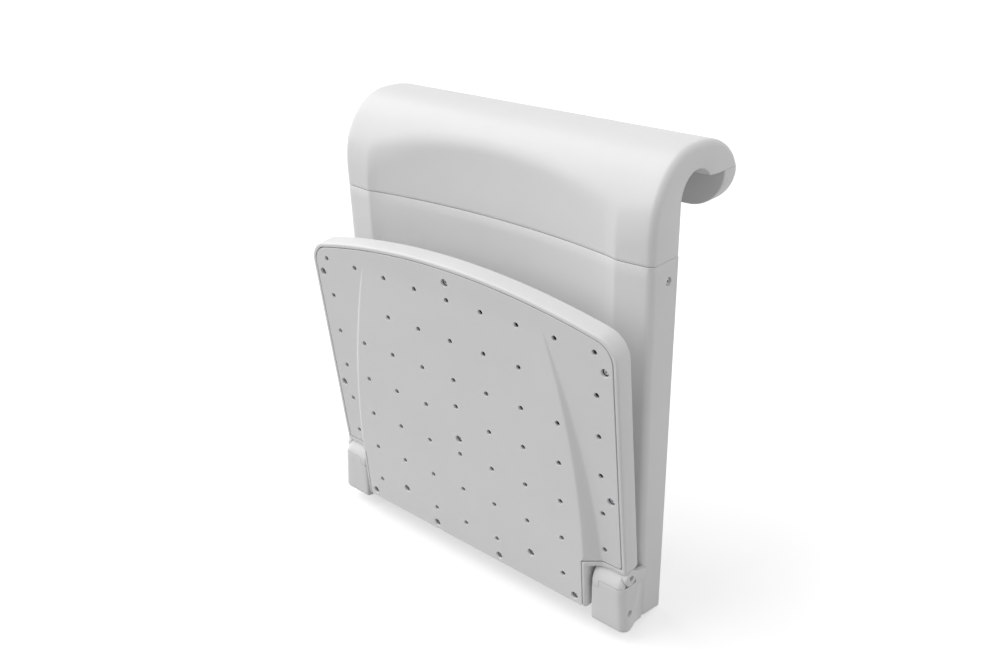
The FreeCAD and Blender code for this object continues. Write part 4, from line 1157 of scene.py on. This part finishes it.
def dress_hinges():
    for side, word in SIDES:
        settle(hinge_block(side, word), "back", "white_cast", "hinge_housing_" + word)
        settle(hinge_cap(side, word), "seat", "white_cast")
        settle(seat_bar(side, word), "seat", "frame_metal", "seat_arm_" + word)
        pin = rod("hinge_rod_" + word, HINGE, side * 172.0, side * 185.0, PIN, "bright_steel")
        settle(pin, "back", "bright_steel", "hinge_pin_" + word)
        # Dark grey disc set nearly flush in the pin's bore, so that the hole shows dark instead of
        # its lit wall
        bore_disc = rod("pin_plug_" + word, HINGE, side * 200.6, side * 204.0, BORE_DISC, "grey_rubber")
        settle(bore_disc, "back", "grey_rubber")


def side_heads(x, place):
    """Screw places on both sides, facing outward."""
    return [((side * x, place[0], place[1]), (side, 0.0, 0.0)) for side in BOTH]


def seen_directly(tree):
    """One for rays from the camera, through glass or off gloss, nought for all others."""
    path = add_node(tree, "ShaderNodeLightPath").outputs
    seen = worked_out(tree, "MAXIMUM", path["Is Camera Ray"], path["Is Transmission Ray"])
    return worked_out(tree, "MAXIMUM", seen, path["Is Glossy Ray"])


def chosen(tree, lighting, seen, out):
    """Lights with one shader and shows the other."""
    choose = add_node(tree, "ShaderNodeMixShader")
    link(
        tree,
        (seen_directly(tree), choose.inputs["Fac"]),
        (lighting, choose.inputs[1]),
        (seen, choose.inputs[2]),
        (choose.outputs["Shader"], add_node(tree, out).inputs["Surface"]),
    )


def studio():
    """Pale floor, white surroundings, two soft lamps and the camera."""
    scene = bpy.context.scene
    scene.world = bpy.data.worlds.new("studio")
    tree = node_tree(scene.world)
    dim = add_node(tree, "ShaderNodeBackground", {"Color": WHITE, "Strength": AMBIENT})
    white = add_node(tree, "ShaderNodeBackground", {"Color": WHITE, "Strength": 1.0})
    chosen(tree, dim.outputs["Background"], white.outputs["Background"], "ShaderNodeOutputWorld")

    pale = bpy.data.materials.new("pale_floor")
    tree = node_tree(pale)
    matt = add_node(tree, "ShaderNodeBsdfDiffuse", {"Color": (FLOOR_TONE,) * 3 + (1.0,)})
    bright = add_node(tree, "ShaderNodeBsdfDiffuse", {"Color": (FLOOR_SEEN,) * 3 + (1.0,)})
    lift = add_node(tree, "ShaderNodeEmission", {"Color": WHITE, "Strength": FLOOR_LIFT})
    both = add_node(tree, "ShaderNodeAddShader")
    link(tree, (bright.outputs["BSDF"], both.inputs[0]), (lift.outputs["Emission"], both.inputs[1]))
    chosen(tree, matt.outputs["BSDF"], both.outputs["Shader"], "ShaderNodeOutputMaterial")
    ground = bpy.data.meshes.new("floor")
    corners = ((-1.0, -1.0), (1.0, -1.0), (1.0, 1.0), (-1.0, 1.0))
    level = cad_box[0][2]
    points = [(x * FLOOR_HALF, y * FLOOR_HALF, level) for x, y in corners]
    ground.from_pydata(points, [], [(0, 1, 2, 3)])
    ground.materials.append(pale)
    floor = bpy.data.objects.new("floor", ground)
    bpy.context.collection.objects.link(floor)

    for name, toward, strength, spread in LAMPS:
        lamp = bpy.data.lights.new(name, "SUN")
        lamp.energy = strength
        lamp.angle = math.radians(spread)
        holder = bpy.data.objects.new(name, lamp)
        holder.rotation_euler = Vector(toward).to_track_quat("Z", "Y").to_euler()
        bpy.context.collection.objects.link(holder)

    lens = bpy.data.cameras.new("camera")
    lens.lens = 37.63
    lens.sensor_width = 36.0
    lens.clip_start = 0.01
    eye = bpy.data.objects.new("camera", lens)
    right = (0.74637, 0.66528, -0.01829)
    up = (-0.27071, 0.32858, 0.90485)
    back = (0.60799, -0.67040, 0.42534)
    spot = (0.6665, -0.7769, 0.2875)
    eye.matrix_world = Matrix((*zip(right, up, back, spot), (0.0, 0.0, 0.0, 1.0)))
    bpy.context.collection.objects.link(eye)
    scene.camera = eye
    scene.view_settings.view_transform = "Standard"


dress_panel()
dress_seat()
settle(screws("panel_side_screws", side_heads(HALF - 3.2, SIDE_SCREW), {}),
       "back", "bright_steel", "side_screws")
dress_hinges()
settle(screws("block_screws", side_heads(ear_side(HOUSING_SCREW[1]) - 5.6, HOUSING_SCREW),
              {"Head Radius": 0.0035}),
       "back", "bright_steel", "housing_screws")
rear_heads = [(place, (0.0, 1.0, 0.0)) for place in REAR_SCREWS]
settle(screws("rear_screws", rear_heads, {"Head Height": 0.001}),
       "back", "bright_steel", "rear_cover_screws")
settle(tail_wall(), "seat", "white_shell")
# Strips that shut the panel's rear above its cover, and the joint between the hook and its lip.
settle(strip("rear_strip", 197.6, (REAR - 0.3, -54.4), (REAR - 3.0, PARTING - 0.2), "white_shell"),
       "back", "white_shell")
settle(strip("joint_strip", 196.5, (50.0, LIP_TOP - 1.2), (62.0, LIP_TOP + 1.2), "grey_plastic"),
       "back", "grey_plastic")
studio()
